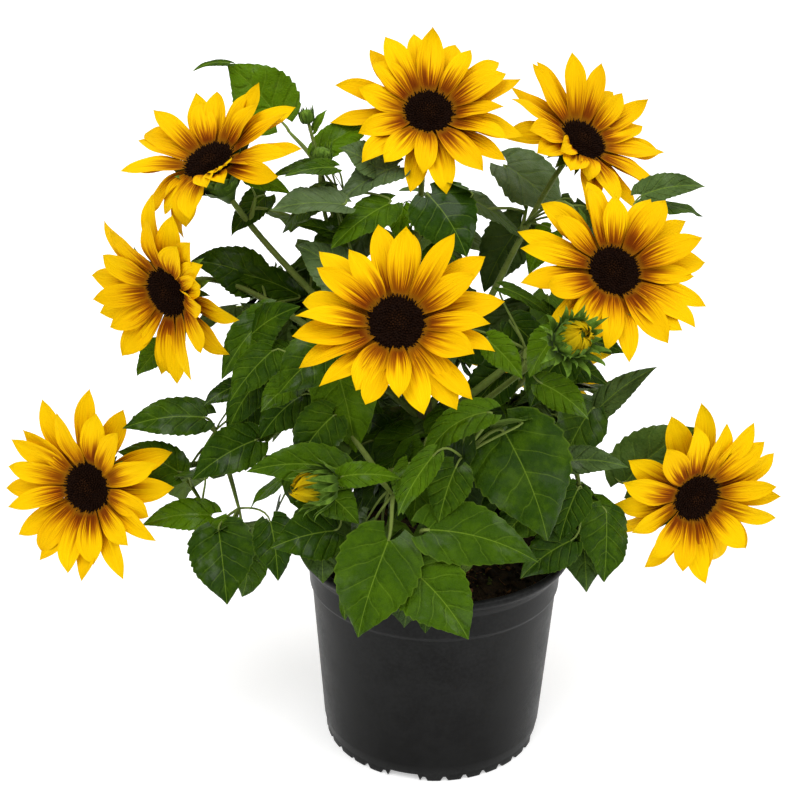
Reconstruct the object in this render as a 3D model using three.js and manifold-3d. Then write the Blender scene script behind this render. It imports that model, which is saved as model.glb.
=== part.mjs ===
// A branching dwarf sunflower in a black plastic growing pot: a short main stem, flower stems
// that leave it at different headings, flower heads, buds and masses of leaves.
// Millimetres, +Z up, front towards -Y. The origin is the middle of the pot's flat underside.

import * as THREE from 'three';
import { mergeVertices } from 'three/addons/utils/BufferGeometryUtils.js';
import Module from 'manifold-3d';

const wasm = await Module();
wasm.setup();

// ---------------------------------------------------------------- driving dimensions

const GAP = 0.3;                 // air left between neighbouring pieces
const TURN = 2 * Math.PI;
const MERGE = 1e-4;              // corners nearer than this are one corner

const POT = {
  height: 147.5,
  lipRadius: 94.6,               // the rolled lip, widest point of the pot
  ledgeRadius: 85.6,             // moulded ring that stands for the growing line
  ledgeHeight: 118,
  ledgeDepth: 2,
  footRadius: 76,
  wallBottomRadius: 77.4,        // the wall chamfers from here down to the foot
  chamferHeight: 12,
  bandStep: 1,                   // the band between ledge and lip stands out by this much
  bandHeight: 16,
  bandFlare: 0.8,                // how much wider the band is at its top
  wall: 1.8,
  floor: 3,
  segments: 32,
};

// The rolled lip: its lower edge, its widest line and its top stand this far below the rim, and
// the lower edge, the top and the inner edge this far inside the widest line.
const LIP = {
  lowerEdge: { below: 6, inside: 1 },
  widest: { below: 3.4 },
  top: { inside: 3 },
  innerEdge: { below: 0.8, inside: 5 },
};

const FOOT = {
  baseRadius: 58,                // flat middle of the underside
  ringInner: 71,                 // inside of the foot ring
  recess: 4,                     // height of the groove between the flat middle and the ring
  draft: 0.8,                    // slope of the foot ring's inner side
  drainGaps: 4,                  // wide gaps that let water out
  drainWidth: 22,
  drainHeight: 5,
  firstDrain: 255,               // heading of the first wide gap, degrees
};

const SOIL = { top: 132, crown: 3, crownMargin: 4, moat: 1.5, segments: POT.segments / 2 };

const MAIN_STEM = {
  flareRadius: 11,
  baseRadius: 7,
  tipRadius: 5,
  flareHeight: 14,
  tip: [-12, 6, 262],
  rise: 45,                      // it starts straight up over this height
  lean: [-6, 2, 222],            // and bends towards its tip here
  sides: 8,
  steps: 12,
};

const HEAD = {
  rays: 10,                      // pointed lobes of the outline
  rayReach: 60,
  shortReach: 50,
  cupAngle: 9,                   // degrees that the rays rise forward from the disc's edge
  notchDrop: 2,                  // the outline between two tips lies this much further back
  rayThickness: 1.2,
  discRadius: 17,
  discCrown: 4,
  discStep: 1,                   // the disc's edge stands this far in front of the rays' foot
  cupRadius: 14,                 // green cup of bracts behind the rays
  cupDepth: 10,
  neckRadius: 4,
  neckDepth: 16,
  uneven: 0.05,                  // how much the rays' lengths differ, as a share
};

// Side stems: "leaves" is their slope where they leave the main stem, in degrees, and the two
// shares say how far along the straight line between its ends each end's direction holds.
const STEM = {
  rootRadius: 3.8,
  tipRadius: 2.5,
  sides: 6,
  steps: 8,
  leaves: 42,
  leaveShare: 0.42,
  arriveShare: 0.26,
};

// Flower heads. Each disc stands at a heading (degrees from +X, seen from above), a reach from
// the pot's axis and a height; it faces the second heading at an elevation. "fork" is the height
// at which its stem leaves the main stem.
const FLOWERS = [
  { name: 'middle',      heading: 254, reach: 99,  height: 335, faces: 272, elevation: 42, fork: 240 },
  { name: 'top',         heading: 96,  reach: 75,  height: 426, faces: 275, elevation: 47, fork: 255 },
  { name: 'upper_left',  heading: 165, reach: 156, height: 399, faces: 234, elevation: 58, fork: 245 },
  { name: 'upper_right', heading: 47,  reach: 147, height: 402, faces: 309, elevation: 48, fork: 235 },
  { name: 'left',        heading: 174, reach: 180, height: 316, faces: 236, elevation: -7, fork: 230 },
  { name: 'right',       heading: 359, reach: 111, height: 340, faces: 284, elevation: 41, fork: 225 },
  { name: 'low_left',    heading: 184, reach: 234, height: 190, faces: 247, elevation: 15, fork: 170 },
  { name: 'low_right',   heading: 357, reach: 176, height: 184, faces: 290, elevation: -2, fork: 165 },
  { name: 'rear_left',   heading: 106, reach: 172, height: 246, faces: 112, elevation: 35, fork: 190 },
  { name: 'rear_right',  heading: 62,  reach: 165, height: 222, faces: 58,  elevation: 25, fork: 180 },
];

// A bud's rings from its foot to its mouth: radius as a share of the bud's radius, and how far
// along its length the ring stands, from -0.5 at the foot to 0.5 at the tip. Every second corner
// is drawn in by "furrow".
const BUD = {
  sides: 8,
  furrow: 0.82,
  foot: 0.35,
  lower: { share: 0.95, along: -0.25 },
  upper: { share: 1, along: 0.125 },
  mouth: 0.6,
  mouthDrop: 2,
};

// Buds: two half open at the front, two closed ones at the top left.
const BUDS = [
  {
    name: 'front_left', heading: 236, reach: 133, height: 237,
    faces: 190, elevation: 5, fork: 185, radius: 11, length: 26,
  },
  {
    name: 'front_right', heading: 323, reach: 101, height: 315,
    faces: 320, elevation: 40, fork: 215, radius: 13, length: 25,
  },
  {
    name: 'top_lower', heading: 150, reach: 90, height: 403,
    faces: 290, elevation: 70, fork: 252, radius: 7, length: 15,
  },
  {
    name: 'top_upper', heading: 148, reach: 104, height: 427,
    faces: 200, elevation: 75, fork: 250, radius: 5, length: 12,
  },
];

// How a mass of leaves is made: a faceted ball whose radius, as a share of the half sizes, is
// "body" with low waves round it, and rises by "pointRise" at each of the leaf-like points.
const MASS = {
  around: 11,
  rings: 7,
  body: 0.8,
  waves: 4,
  waveHeight: 0.07,
  points: 6,
  pointRise: 0.32,
  pointSharpness: 9,
  pointSpread: 0.7,              // how far the points stray above and below the middle
};

// Masses of leaves. "at" is the middle of the mass; "half" is half its size sideways, outwards
// and up; "droop" tips its outer edge down, in degrees, about the heading it points to.
const MASSES = [
  { name: 'core_low',          at: [-8, 0, 206],      half: [74, 66, 44], points: 270, droop: 0 },
  { name: 'core_high',         at: [-28, 22, 292],    half: [78, 68, 56], points: 270, droop: 0 },
  { name: 'crown_left',        at: [-70, 32, 378],    half: [42, 34, 32], points: 250, droop: 0 },
  { name: 'crown_right',       at: [34, 28, 370],     half: [46, 36, 42], points: 290, droop: 0 },
  { name: 'tip_upper_left',    at: [-126, 74, 440],   half: [40, 30, 16], points: 230, droop: 15 },
  { name: 'shoulder_right',    at: [86, 62, 350],     half: [46, 40, 36], points: 20,  droop: 0 },
  { name: 'tip_right',         at: [146, 62, 374],    half: [34, 30, 10], points: 350, droop: 0 },
  { name: 'middle_right',      at: [66, -34, 280],    half: [42, 40, 46], points: 290, droop: 0 },
  { name: 'side_right',        at: [120, 2, 236],     half: [46, 46, 34], points: 350, droop: 15 },
  { name: 'skirt_right',       at: [104, -34, 176],   half: [36, 38, 32], points: 310, droop: 25 },
  { name: 'front_right',       at: [38, -78, 232],    half: [46, 36, 42], points: 280, droop: 20 },
  { name: 'skirt_front_left',  at: [-42, -108, 173],  half: [31, 22, 44], points: 260, droop: 5 },
  { name: 'skirt_front_right', at: [4, -107, 169],    half: [39, 21, 42], points: 275, droop: 5 },
  { name: 'front_left',        at: [-92, -72, 196],   half: [40, 34, 36], points: 235, droop: 15 },
  { name: 'skirt_left',        at: [-140, -52, 164],  half: [34, 28, 38], points: 220, droop: 15 },
  { name: 'inner_left',        at: [-124, -26, 224],  half: [34, 30, 26], points: 200, droop: 10 },
  { name: 'shelf_left',        at: [-172, -6, 228],   half: [38, 36, 26], points: 185, droop: 15 },
  { name: 'shelf_low_left',    at: [-168, -18, 184],  half: [34, 30, 24], points: 190, droop: 20 },
  { name: 'side_left',         at: [-132, 8, 302],    half: [30, 34, 50], points: 180, droop: 0 },
  { name: 'shoulder_left',     at: [-124, 34, 366],   half: [30, 28, 24], points: 170, droop: 0 },
  { name: 'middle_left',       at: [-78, -48, 262],   half: [42, 32, 36], points: 230, droop: 0 },
  { name: 'rear_left',         at: [-96, 88, 282],    half: [52, 48, 56], points: 135, droop: 0 },
  { name: 'rear_middle',       at: [-18, 108, 326],   half: [56, 44, 62], points: 95,  droop: 0 },
  { name: 'rear_right',        at: [84, 104, 268],    half: [50, 46, 56], points: 50,  droop: 0 },
  { name: 'rear_skirt_left',   at: [-72, 78, 198],    half: [56, 48, 42], points: 130, droop: 15 },
  { name: 'rear_skirt_right',  at: [52, 98, 180],     half: [56, 40, 34], points: 60,  droop: 15 },
];

// ---------------------------------------------------------------- materials

const FINISHES = {
  potPlastic: { color: 0x232426, roughness: 0.42, metalness: 0 },
  soil: { color: 0x2e2118, roughness: 0.95, metalness: 0 },
  stem: { color: 0x6f8a3a, roughness: 0.7, metalness: 0 },
  leaf: { color: 0x2f6b1f, roughness: 0.45, metalness: 0 },
  petal: { color: 0xffc400, roughness: 0.55, metalness: 0 },
  bud: { color: 0x5d8436, roughness: 0.6, metalness: 0 },
};

const finish = (name) => new THREE.MeshStandardMaterial(FINISHES[name]);

// ---------------------------------------------------------------- small helpers

const radians = (degrees) => THREE.MathUtils.degToRad(degrees);

const direction = (heading, elevation) => new THREE.Vector3(
  Math.cos(radians(elevation)) * Math.cos(radians(heading)),
  Math.cos(radians(elevation)) * Math.sin(radians(heading)),
  Math.sin(radians(elevation)),
);

const place = ({ heading, reach, height }) => new THREE.Vector3(
  reach * Math.cos(radians(heading)),
  reach * Math.sin(radians(heading)),
  height,
);

// Repeatable random numbers between 0 and 1 (a multiply-and-add sequence).
function seededRandom(seed) {
  let state = (seed * 7919 + 12345) % 2147483647;
  return () => {
    state = (state * 48271) % 2147483647;
    return state / 2147483647;
  };
}

function meshGeometry(positions, triangles) {
  const geometry = new THREE.BufferGeometry();
  geometry.setAttribute('position', new THREE.Float32BufferAttribute(positions, 3));
  geometry.setIndex(triangles);
  return geometry;
}

// ---------------------------------------------------------------- joins and cuts

function toSolid(geometry) {
  const bare = geometry.clone();
  bare.deleteAttribute('normal');
  bare.deleteAttribute('uv');
  const merged = mergeVertices(bare, MERGE);
  return new wasm.Manifold(new wasm.Mesh({
    numProp: 3,
    vertProperties: new Float32Array(merged.attributes.position.array),
    triVerts: new Uint32Array(merged.index.array),
  }));
}

// One connected body of a cut solid, so that a piece stays one closed body: the one with the
// vertex nearest to a point, or the one with the most triangles if there is no point.
function oneBody(mesh, nearTo) {
  const parent = Array.from({ length: mesh.numVert }, (_, index) => index);
  const rootOf = (vertex) => {
    let root = vertex;
    while (parent[root] !== root) root = parent[root];
    parent[vertex] = root;
    return root;
  };
  for (let t = 0; t < mesh.numTri; t += 1) {
    const [a, b, c] = mesh.triVerts.subarray(3 * t, 3 * t + 3);
    parent[rootOf(b)] = rootOf(a);
    parent[rootOf(c)] = rootOf(a);
  }
  const merit = new Map();
  for (let t = 0; t < mesh.numTri; t += 1) {
    const vertex = mesh.triVerts[3 * t];
    const root = rootOf(vertex);
    const corner = new THREE.Vector3().fromArray(mesh.vertProperties, 3 * vertex);
    const before = merit.get(root);
    merit.set(root, nearTo
      ? Math.max(before ?? -Infinity, -corner.distanceTo(nearTo))
      : (before ?? 0) + 1);
  }
  const keep = [...merit].sort((p, q) => q[1] - p[1])[0][0];
  const triangles = [];
  for (let t = 0; t < mesh.numTri; t += 1) {
    const corners = [...mesh.triVerts.subarray(3 * t, 3 * t + 3)];
    if (rootOf(corners[0]) === keep) triangles.push(...corners);
  }
  return meshGeometry([...mesh.vertProperties], triangles);
}

function boxesMeet(first, second) {
  first.computeBoundingBox();
  second.computeBoundingBox();
  return first.boundingBox.intersectsBox(second.boundingBox);
}

// The geometry less every cutter that its box meets.
function cutBy(geometry, cutters, nearTo) {
  const near = cutters.filter((cutter) => boxesMeet(geometry, cutter));
  if (near.length === 0) return geometry;
  const rest = near.reduce((solid, cutter) => solid.subtract(toSolid(cutter)), toSolid(geometry));
  return oneBody(rest.getMesh(), nearTo);
}

// ---------------------------------------------------------------- pot and soil

// A wall drawn as points of radius and height, turned once round the pot's axis.
function turned(profile, segments) {
  return new THREE.LatheGeometry(profile.map(([r, z]) => new THREE.Vector2(r, z)), segments)
    .rotateX(Math.PI / 2);
}

// Radius of the tapering outer wall at a height between the chamfer and the ledge.
function wallRadius(height) {
  const share = (height - POT.chamferHeight) / (POT.ledgeHeight - POT.chamferHeight);
  return POT.wallBottomRadius + share * (POT.ledgeRadius - POT.wallBottomRadius);
}

function drainCutters() {
  const depth = 2 * (POT.wallBottomRadius - FOOT.ringInner);
  const middle = (FOOT.ringInner + POT.wallBottomRadius) / 2;
  return Array.from({ length: FOOT.drainGaps }, (_, i) => {
    const heading = radians(FOOT.firstDrain + (i * 360) / FOOT.drainGaps);
    return new THREE.BoxGeometry(depth, FOOT.drainWidth, 2 * FOOT.drainHeight)
      .translate(middle, 0, 0)
      .rotateZ(heading);
  });
}

// The pot's outline from the middle of the underside, out and up over the lip and back down
// inside to the middle of the floor. Corners are softened by short slopes.
function potGeometry() {
  const { wall, height, lipRadius, ledgeRadius, ledgeHeight } = POT;
  const bandFoot = ledgeRadius + POT.bandStep;
  const bandTop = bandFoot + POT.bandFlare;
  const grooveEdge = FOOT.baseRadius + FOOT.recess;
  const outer = [
    [0, 0],
    [FOOT.baseRadius, 0],
    [grooveEdge, FOOT.recess],
    [FOOT.ringInner, FOOT.recess],
    [FOOT.ringInner + FOOT.draft, 0],
    [POT.footRadius, 0],
    [POT.footRadius, FOOT.drainHeight],
    [POT.wallBottomRadius, POT.chamferHeight],
    [wallRadius(ledgeHeight - POT.ledgeDepth), ledgeHeight - POT.ledgeDepth],
    [bandFoot, ledgeHeight],
    [bandTop, ledgeHeight + POT.bandHeight],
    [lipRadius - LIP.lowerEdge.inside, height - LIP.lowerEdge.below],
    [lipRadius, height - LIP.widest.below],
    [lipRadius - LIP.top.inside, height],
    [lipRadius - LIP.innerEdge.inside, height - LIP.innerEdge.below],
  ];
  const inner = [
    [bandTop - wall, ledgeHeight + POT.bandHeight + 1],
    [bandFoot - wall, ledgeHeight],
    [wallRadius(POT.chamferHeight) - wall, POT.chamferHeight],
    [FOOT.ringInner, FOOT.recess + POT.floor],
    [grooveEdge, FOOT.recess + POT.floor],
    [FOOT.baseRadius, POT.floor],
    [0, POT.floor],
  ];
  return cutBy(turned([...outer, ...inner], POT.segments), drainCutters());
}

// The soil fills the pot from its floor up, dips to a shallow moat at the wall and rises to a
// low crown round the main stem.
function soilGeometry() {
  const inside = wallRadius(POT.chamferHeight) - POT.wall - GAP;
  const topRadius = POT.ledgeRadius + POT.bandStep - POT.wall - GAP;
  const profile = [
    [0, POT.floor + GAP],
    [FOOT.baseRadius - 1, POT.floor + GAP],
    [FOOT.baseRadius + 2, FOOT.recess + POT.floor + GAP],
    [FOOT.ringInner - 1, FOOT.recess + POT.floor + GAP],
    [inside, POT.chamferHeight],
    [topRadius, POT.ledgeHeight],
    [topRadius, SOIL.top - SOIL.moat],
    [MAIN_STEM.flareRadius + SOIL.crownMargin, SOIL.top + SOIL.crown],
    [0, SOIL.top + SOIL.crown],
  ];
  return turned(profile, SOIL.segments);
}

// ---------------------------------------------------------------- stems

// A closed tapering limb: rings of corners square to the curve, with a flat cap at each end.
// "extra" is added all round and past both ends.
function limb(curve, radiusAt, sides, steps, extra = 0) {
  const frames = curve.computeFrenetFrames(steps);
  const positions = [];
  for (let i = 0; i <= steps; i += 1) {
    const radius = radiusAt(i / steps) + extra;
    const past = i === 0 ? -extra : extra * (i === steps);
    const centre = curve.getPointAt(i / steps).addScaledVector(frames.tangents[i], past);
    for (let k = 0; k < sides; k += 1) {
      const angle = (TURN * k) / sides;
      const corner = centre.clone()
        .addScaledVector(frames.normals[i], radius * Math.cos(angle))
        .addScaledVector(frames.binormals[i], radius * Math.sin(angle));
      positions.push(...corner);
    }
  }
  const triangles = [];
  for (let i = 0; i < steps; i += 1) {
    for (let k = 0; k < sides; k += 1) {
      const next = (k + 1) % sides;
      const [a, b] = [i * sides + k, i * sides + next];
      triangles.push(a, b, b + sides, a, b + sides, a + sides);
    }
  }
  const last = steps * sides;
  for (let k = 1; k < sides - 1; k += 1) {
    triangles.push(0, k + 1, k, last, last + k, last + k + 1);
  }
  return meshGeometry(positions, triangles);
}

const soilSurface = SOIL.top + SOIL.crown;
const mainStemCurve = new THREE.CubicBezierCurve3(
  new THREE.Vector3(0, 0, soilSurface + GAP),
  new THREE.Vector3(0, 0, soilSurface + MAIN_STEM.rise),
  new THREE.Vector3(...MAIN_STEM.lean),
  new THREE.Vector3(...MAIN_STEM.tip),
);

// The main stem flares just above the soil, then tapers evenly to its fork.
function mainStemGeometry(extra = 0) {
  const length = MAIN_STEM.tip[2] - soilSurface;
  const radiusAt = (share) => {
    const flare = Math.max(0, 1 - (share * length) / MAIN_STEM.flareHeight);
    const taper = MAIN_STEM.baseRadius + share * (MAIN_STEM.tipRadius - MAIN_STEM.baseRadius);
    return taper + flare * flare * (MAIN_STEM.flareRadius - MAIN_STEM.baseRadius);
  };
  return limb(mainStemCurve, radiusAt, MAIN_STEM.sides, MAIN_STEM.steps, extra);
}

// Where the main stem's middle stands at a height.
function mainStemAt(height) {
  const share = (height - soilSurface) / (MAIN_STEM.tip[2] - soilSurface);
  return mainStemCurve.getPoint(THREE.MathUtils.clamp(share, 0, 1));
}

// A side stem leaves the main stem outwards and up, and meets the flower square on its back.
function sideStemCurve({ heading, reach, height, faces, elevation, fork }, backDepth) {
  const facing = direction(faces, elevation);
  const start = mainStemAt(fork);
  const end = place({ heading, reach, height }).addScaledVector(facing, -backDepth);
  const span = start.distanceTo(end);
  const leave = direction(heading, STEM.leaves).multiplyScalar(STEM.leaveShare * span).add(start);
  const arrive = end.clone().addScaledVector(facing, -STEM.arriveShare * span);
  return new THREE.CubicBezierCurve3(start, leave, arrive, end);
}

function sideStemGeometry(item, backDepth, extra = 0) {
  const radiusAt = (share) => STEM.rootRadius + share * (STEM.tipRadius - STEM.rootRadius);
  return limb(sideStemCurve(item, backDepth), radiusAt, STEM.sides, STEM.steps, extra);
}

// ---------------------------------------------------------------- flower heads and buds

// A closed form of rings round the Z axis. Each ring is a function of the angle's index that
// gives radius and height; the first and last rings are single points on the axis.
function ringed(rings, around, bottom, top) {
  const positions = [0, 0, bottom];
  for (const ring of rings) {
    for (let k = 0; k < around; k += 1) {
      const angle = (TURN * k) / around;
      const [radius, height] = ring(k);
      positions.push(radius * Math.cos(angle), radius * Math.sin(angle), height);
    }
  }
  positions.push(0, 0, top);
  const apex = 1 + rings.length * around;
  const triangles = [];
  for (let k = 0; k < around; k += 1) {
    const next = (k + 1) % around;
    triangles.push(0, 1 + next, 1 + k);
    for (let r = 0; r < rings.length - 1; r += 1) {
      const [a, b] = [1 + r * around + k, 1 + r * around + next];
      triangles.push(a, b, b + around, a, b + around, a + around);
    }
    const rim = 1 + (rings.length - 1) * around;
    triangles.push(rim + k, rim + next, apex);
  }
  return meshGeometry(positions, triangles);
}

// Turns a form that looks along +Z so that it looks along the facing, and puts it in its place.
function aimed(geometry, item) {
  const turn = new THREE.Quaternion()
    .setFromUnitVectors(new THREE.Vector3(0, 0, 1), direction(item.faces, item.elevation));
  return geometry.applyQuaternion(turn).translate(...place(item));
}

function headGeometry(flower, extra = 0) {
  const random = seededRandom(flower.heading);
  const stretch = Array.from(
    { length: 2 * HEAD.rays },
    () => 1 - HEAD.uneven + 2 * HEAD.uneven * random(),
  );
  const tip = (k) => (k % 2 ? HEAD.shortReach : HEAD.rayReach) * stretch[k] + extra;
  const rise = (HEAD.rayReach - HEAD.discRadius) * Math.tan(radians(HEAD.cupAngle));
  const tipHeight = (k) => (k % 2 ? rise - HEAD.notchDrop : rise);
  const rings = [
    () => [HEAD.neckRadius + extra, -HEAD.neckDepth - extra],
    () => [HEAD.cupRadius + extra, -HEAD.cupDepth - extra],
    (k) => [tip(k), tipHeight(k) - HEAD.rayThickness / 2 - extra],
    (k) => [tip(k), tipHeight(k) + HEAD.rayThickness / 2 + extra],
    () => [HEAD.discRadius + extra, HEAD.discStep + extra],
  ];
  const form = ringed(rings, 2 * HEAD.rays, -HEAD.neckDepth - extra, HEAD.discCrown + extra);
  return aimed(form, flower);
}

function budGeometry(bud, extra = 0) {
  const { radius, length } = bud;
  const furrowed = (k, share) => radius * share * (k % 2 ? BUD.furrow : 1) + extra;
  const rings = [
    (k) => [furrowed(k, BUD.foot), -length / 2 - extra],
    (k) => [furrowed(k, BUD.lower.share), BUD.lower.along * length],
    (k) => [furrowed(k, BUD.upper.share), BUD.upper.along * length],
    (k) => [furrowed(k, BUD.mouth), length / 2 - BUD.mouthDrop],
  ];
  return aimed(ringed(rings, BUD.sides, -length / 2 - extra, length / 2 + extra), bud);
}

// ---------------------------------------------------------------- masses of leaves

// A round form drawn out into leaf-like points: a ball whose radius rises at a few directions
// spread by the golden angle, with low waves between them, then flattened, drooped and turned.
function massGeometry(mass, index, extra = 0) {
  const random = seededRandom(index + 1);
  const goldenAngle = Math.PI * (3 - Math.sqrt(5));
  const turnBy = TURN * random();
  const tips = Array.from({ length: MASS.points }, (_, i) => {
    const up = MASS.pointSpread * (random() - 0.5);
    const angle = turnBy + i * goldenAngle;
    return new THREE.Vector3(Math.cos(angle), Math.sin(angle), up).normalize();
  });
  const wavePhase = TURN * random();
  const ball = new THREE.SphereGeometry(1, MASS.around, MASS.rings).rotateX(Math.PI / 2);
  ball.deleteAttribute('normal');
  ball.deleteAttribute('uv');
  const form = mergeVertices(ball, MERGE);
  const position = form.attributes.position;
  const ray = new THREE.Vector3();
  const nearness = (tip) => Math.exp(MASS.pointSharpness * (ray.dot(tip) - 1));
  for (let i = 0; i < position.count; i += 1) {
    ray.fromBufferAttribute(position, i).normalize();
    const round = Math.sin(MASS.waves * Math.atan2(ray.y, ray.x) + wavePhase);
    const wave = MASS.waveHeight * round * (1 - ray.z * ray.z);
    const point = tips.reduce((most, tip) => Math.max(most, nearness(tip)), 0);
    const radius = MASS.body + wave + MASS.pointRise * point;
    position.setXYZ(
      i,
      ray.x * (radius * mass.half[0] + extra),
      ray.y * (radius * mass.half[1] + extra),
      ray.z * (radius * mass.half[2] + extra),
    );
  }
  return form
    .rotateX(-radians(mass.droop))
    .rotateZ(radians(mass.points - 90))
    .translate(...mass.at);
}

// ---------------------------------------------------------------- the plant

const plant = new THREE.Group();

function addMesh(name, geometry, material) {
  const bare = geometry.index ? geometry : mergeVertices(geometry, MERGE);
  bare.deleteAttribute('normal');
  bare.deleteAttribute('uv');
  bare.computeVertexNormals();
  const mesh = new THREE.Mesh(bare, material);
  mesh.name = name;
  plant.add(mesh);
}

// Room that the leaves and stems keep clear of: the pot with its lip, the main stem, the heads
// and the buds.
const potRoom = turned([
  [0, -GAP],
  [POT.lipRadius + GAP, -GAP],
  [POT.lipRadius + GAP, POT.height + GAP],
  [0, POT.height + GAP],
], POT.segments);
const solidRoom = [
  potRoom,
  mainStemGeometry(GAP),
  ...FLOWERS.map((flower) => headGeometry(flower, GAP)),
  ...BUDS.map((bud) => budGeometry(bud, GAP)),
];

addMesh('pot', potGeometry(), finish('potPlastic'));
addMesh('potting_soil', soilGeometry(), finish('soil'));
addMesh('main_stem', mainStemGeometry(), finish('stem'));

MASSES.forEach((mass, index) => {
  const earlier = MASSES.slice(0, index).map((other, i) => massGeometry(other, i, GAP));
  const form = cutBy(massGeometry(mass, index), [...solidRoom, ...earlier]);
  addMesh(`leaves_${mass.name}`, form, finish('leaf'));
});

const massRoom = MASSES.map((mass, index) => massGeometry(mass, index, GAP));
const limbs = [
  ...FLOWERS.map((flower) => ({ item: flower, depth: HEAD.neckDepth + GAP })),
  ...BUDS.map((bud) => ({ item: bud, depth: bud.length / 2 + GAP })),
];
limbs.forEach(({ item, depth }, index) => {
  const earlier = limbs.slice(0, index)
    .map((other) => sideStemGeometry(other.item, other.depth, GAP));
  const cutters = [...solidRoom, ...massRoom, ...earlier];
  const form = cutBy(sideStemGeometry(item, depth), cutters, place(item));
  addMesh(`stem_${item.name}`, form, finish('stem'));
});

FLOWERS.forEach((flower) => addMesh(`flower_${flower.name}`, headGeometry(flower), finish('petal')));
BUDS.forEach((bud) => addMesh(`bud_${bud.name}`, budGeometry(bud), finish('bud')));

export default plant;
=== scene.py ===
"""Looks of a sunflower plant in a nursery pot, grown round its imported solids.

Every part is a class: the pot, its soil, the stems, the flower heads, the buds and the masses of
leaves. Each works its surfaces out as whole numpy grids, in metres, in the frame of the solids:
the origin is the middle of the pot's flat underside, +Z is up and the front looks along -Y.
"""

import logging
import math
import sys
from dataclasses import dataclass
from enum import Enum

import bpy
import numpy as np
from mathutils import Matrix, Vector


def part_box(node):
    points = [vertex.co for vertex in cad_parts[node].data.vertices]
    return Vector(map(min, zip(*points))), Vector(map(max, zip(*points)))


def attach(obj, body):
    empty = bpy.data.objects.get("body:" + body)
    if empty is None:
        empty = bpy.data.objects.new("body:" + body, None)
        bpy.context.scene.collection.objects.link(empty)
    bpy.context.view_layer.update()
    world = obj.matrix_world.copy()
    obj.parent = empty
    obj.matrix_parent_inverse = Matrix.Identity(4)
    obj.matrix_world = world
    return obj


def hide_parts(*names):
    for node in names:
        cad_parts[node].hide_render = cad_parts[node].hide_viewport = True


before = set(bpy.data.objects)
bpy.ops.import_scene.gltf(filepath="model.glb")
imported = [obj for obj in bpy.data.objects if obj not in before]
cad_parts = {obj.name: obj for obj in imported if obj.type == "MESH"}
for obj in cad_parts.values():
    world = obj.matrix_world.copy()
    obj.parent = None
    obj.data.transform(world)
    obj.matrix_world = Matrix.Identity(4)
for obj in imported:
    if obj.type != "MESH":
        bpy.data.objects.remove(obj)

LOG = logging.getLogger("sunflower")
MM = 0.001
TURN = 2.0 * math.pi
GOLDEN_ANGLE = math.pi * (3.0 - math.sqrt(5.0))
EYE = (-0.025, -0.864, 0.595)
UP = np.array([0.0, 0.0, 1.0])
LEVEL = np.array([1.0, 1.0, 0.0])

Array = np.ndarray
Draws = np.random.Generator
Colour = tuple[float, float, float]


class Slot(Enum):
    """The record's material slots."""

    POT = "pot_plastic"
    SOIL = "soil"
    STEM = "stem"
    LEAF = "leaf"
    PETAL = "petal"
    BUD = "bud"


# ---------------------------------------------------------------- vectors and curves


def unit(vectors: Array) -> Array:
    """The vectors along the last axis, each divided by its length."""
    return vectors / np.maximum(np.linalg.norm(vectors, axis=-1, keepdims=True), 1e-12)


def column(values: Array) -> Array:
    """The values, one to a row."""
    return np.asarray(values)[:, None]


def joined(*parts: Array | float) -> Array:
    """Numbers that fit each other's shapes, side by side along a new last axis."""
    return np.stack(np.broadcast_arrays(*parts), axis=-1)


def along(first: Array, second: Array) -> Array:
    """Dot product over the last axis, which is kept."""
    return np.sum(first * second, axis=-1, keepdims=True)


def direction(heading: Array | float, elevation: Array | float = 0.0) -> Array:
    """Unit vectors for headings h from +X and elevations e, in degrees.

    Formula: (cos e cos h, cos e sin h, sin e).

    Args:
        heading: One heading or an array of them.
        elevation: One elevation or an array of them.

    Returns:
        An array of vectors along its last axis.
    """
    turn, rise = np.broadcast_arrays(np.radians(heading), np.radians(elevation))
    flat = np.cos(rise)
    return joined(flat * np.cos(turn), flat * np.sin(turn), np.sin(rise))


def smoothstep(low: float, high: float, values: Array) -> Array:
    """0 below low, 1 above high, and 3t^2 - 2t^3 between them."""
    share = np.clip((values - low) / (high - low), 0.0, 1.0)
    return share * share * (3.0 - 2.0 * share)


def bezier(corners: Array, shares: Array) -> Array:
    """Points on cubic Bezier curves.

    Formula: (1-s)^3 A + 3 s (1-s)^2 B + 3 s^2 (1-s) C + s^3 D.

    Args:
        corners: Control points, shaped (curves, 4, 3).
        shares: Places along each curve, from 0 to 1.

    Returns:
        Points shaped (curves, places, 3).
    """
    rest = 1.0 - shares
    weights = joined(rest**3, 3 * shares * rest**2, 3 * shares**2 * rest, shares**3)
    return np.einsum("sk,nkd->nsd", weights, corners)


def tubes(path: Array, radius: Array, sides: int, ribs: float = 0.0) -> Array:
    """Round tubes carried along paths.

    Formula: path + radius (1 + ribs cos 5a) (cos a N + sin a B), with N and B square to the path.

    Args:
        path: Centre lines, shaped (tubes, steps, 3).
        radius: Radii that fit the shape (tubes, steps).
        sides: Corners round each ring.
        ribs: Height of five lengthwise ribs, as a share of the radius.

    Returns:
        Points shaped (tubes, steps, sides, 3).
    """
    tangent = unit(np.gradient(path, axis=1))
    first = tangent[:, 0]
    least = np.eye(3)[np.argmin(np.abs(first), axis=-1)]
    bend = np.cross(first, tangent[:, -1])
    reference = unit(bend + 0.05 * unit(np.cross(first, least)))[:, None]
    normal = unit(reference - along(reference, tangent) * tangent)
    binormal = np.cross(tangent, normal)
    angle = -TURN * np.arange(sides) / sides
    reach = (1.0 + ribs * np.cos(5 * angle)) * np.broadcast_to(radius, path.shape[:2])[..., None]
    ring = (
        np.cos(angle)[:, None] * normal[:, :, None]
        + np.sin(angle)[:, None] * binormal[:, :, None]
    )
    return path[:, :, None] + reach[..., None] * ring


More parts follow.
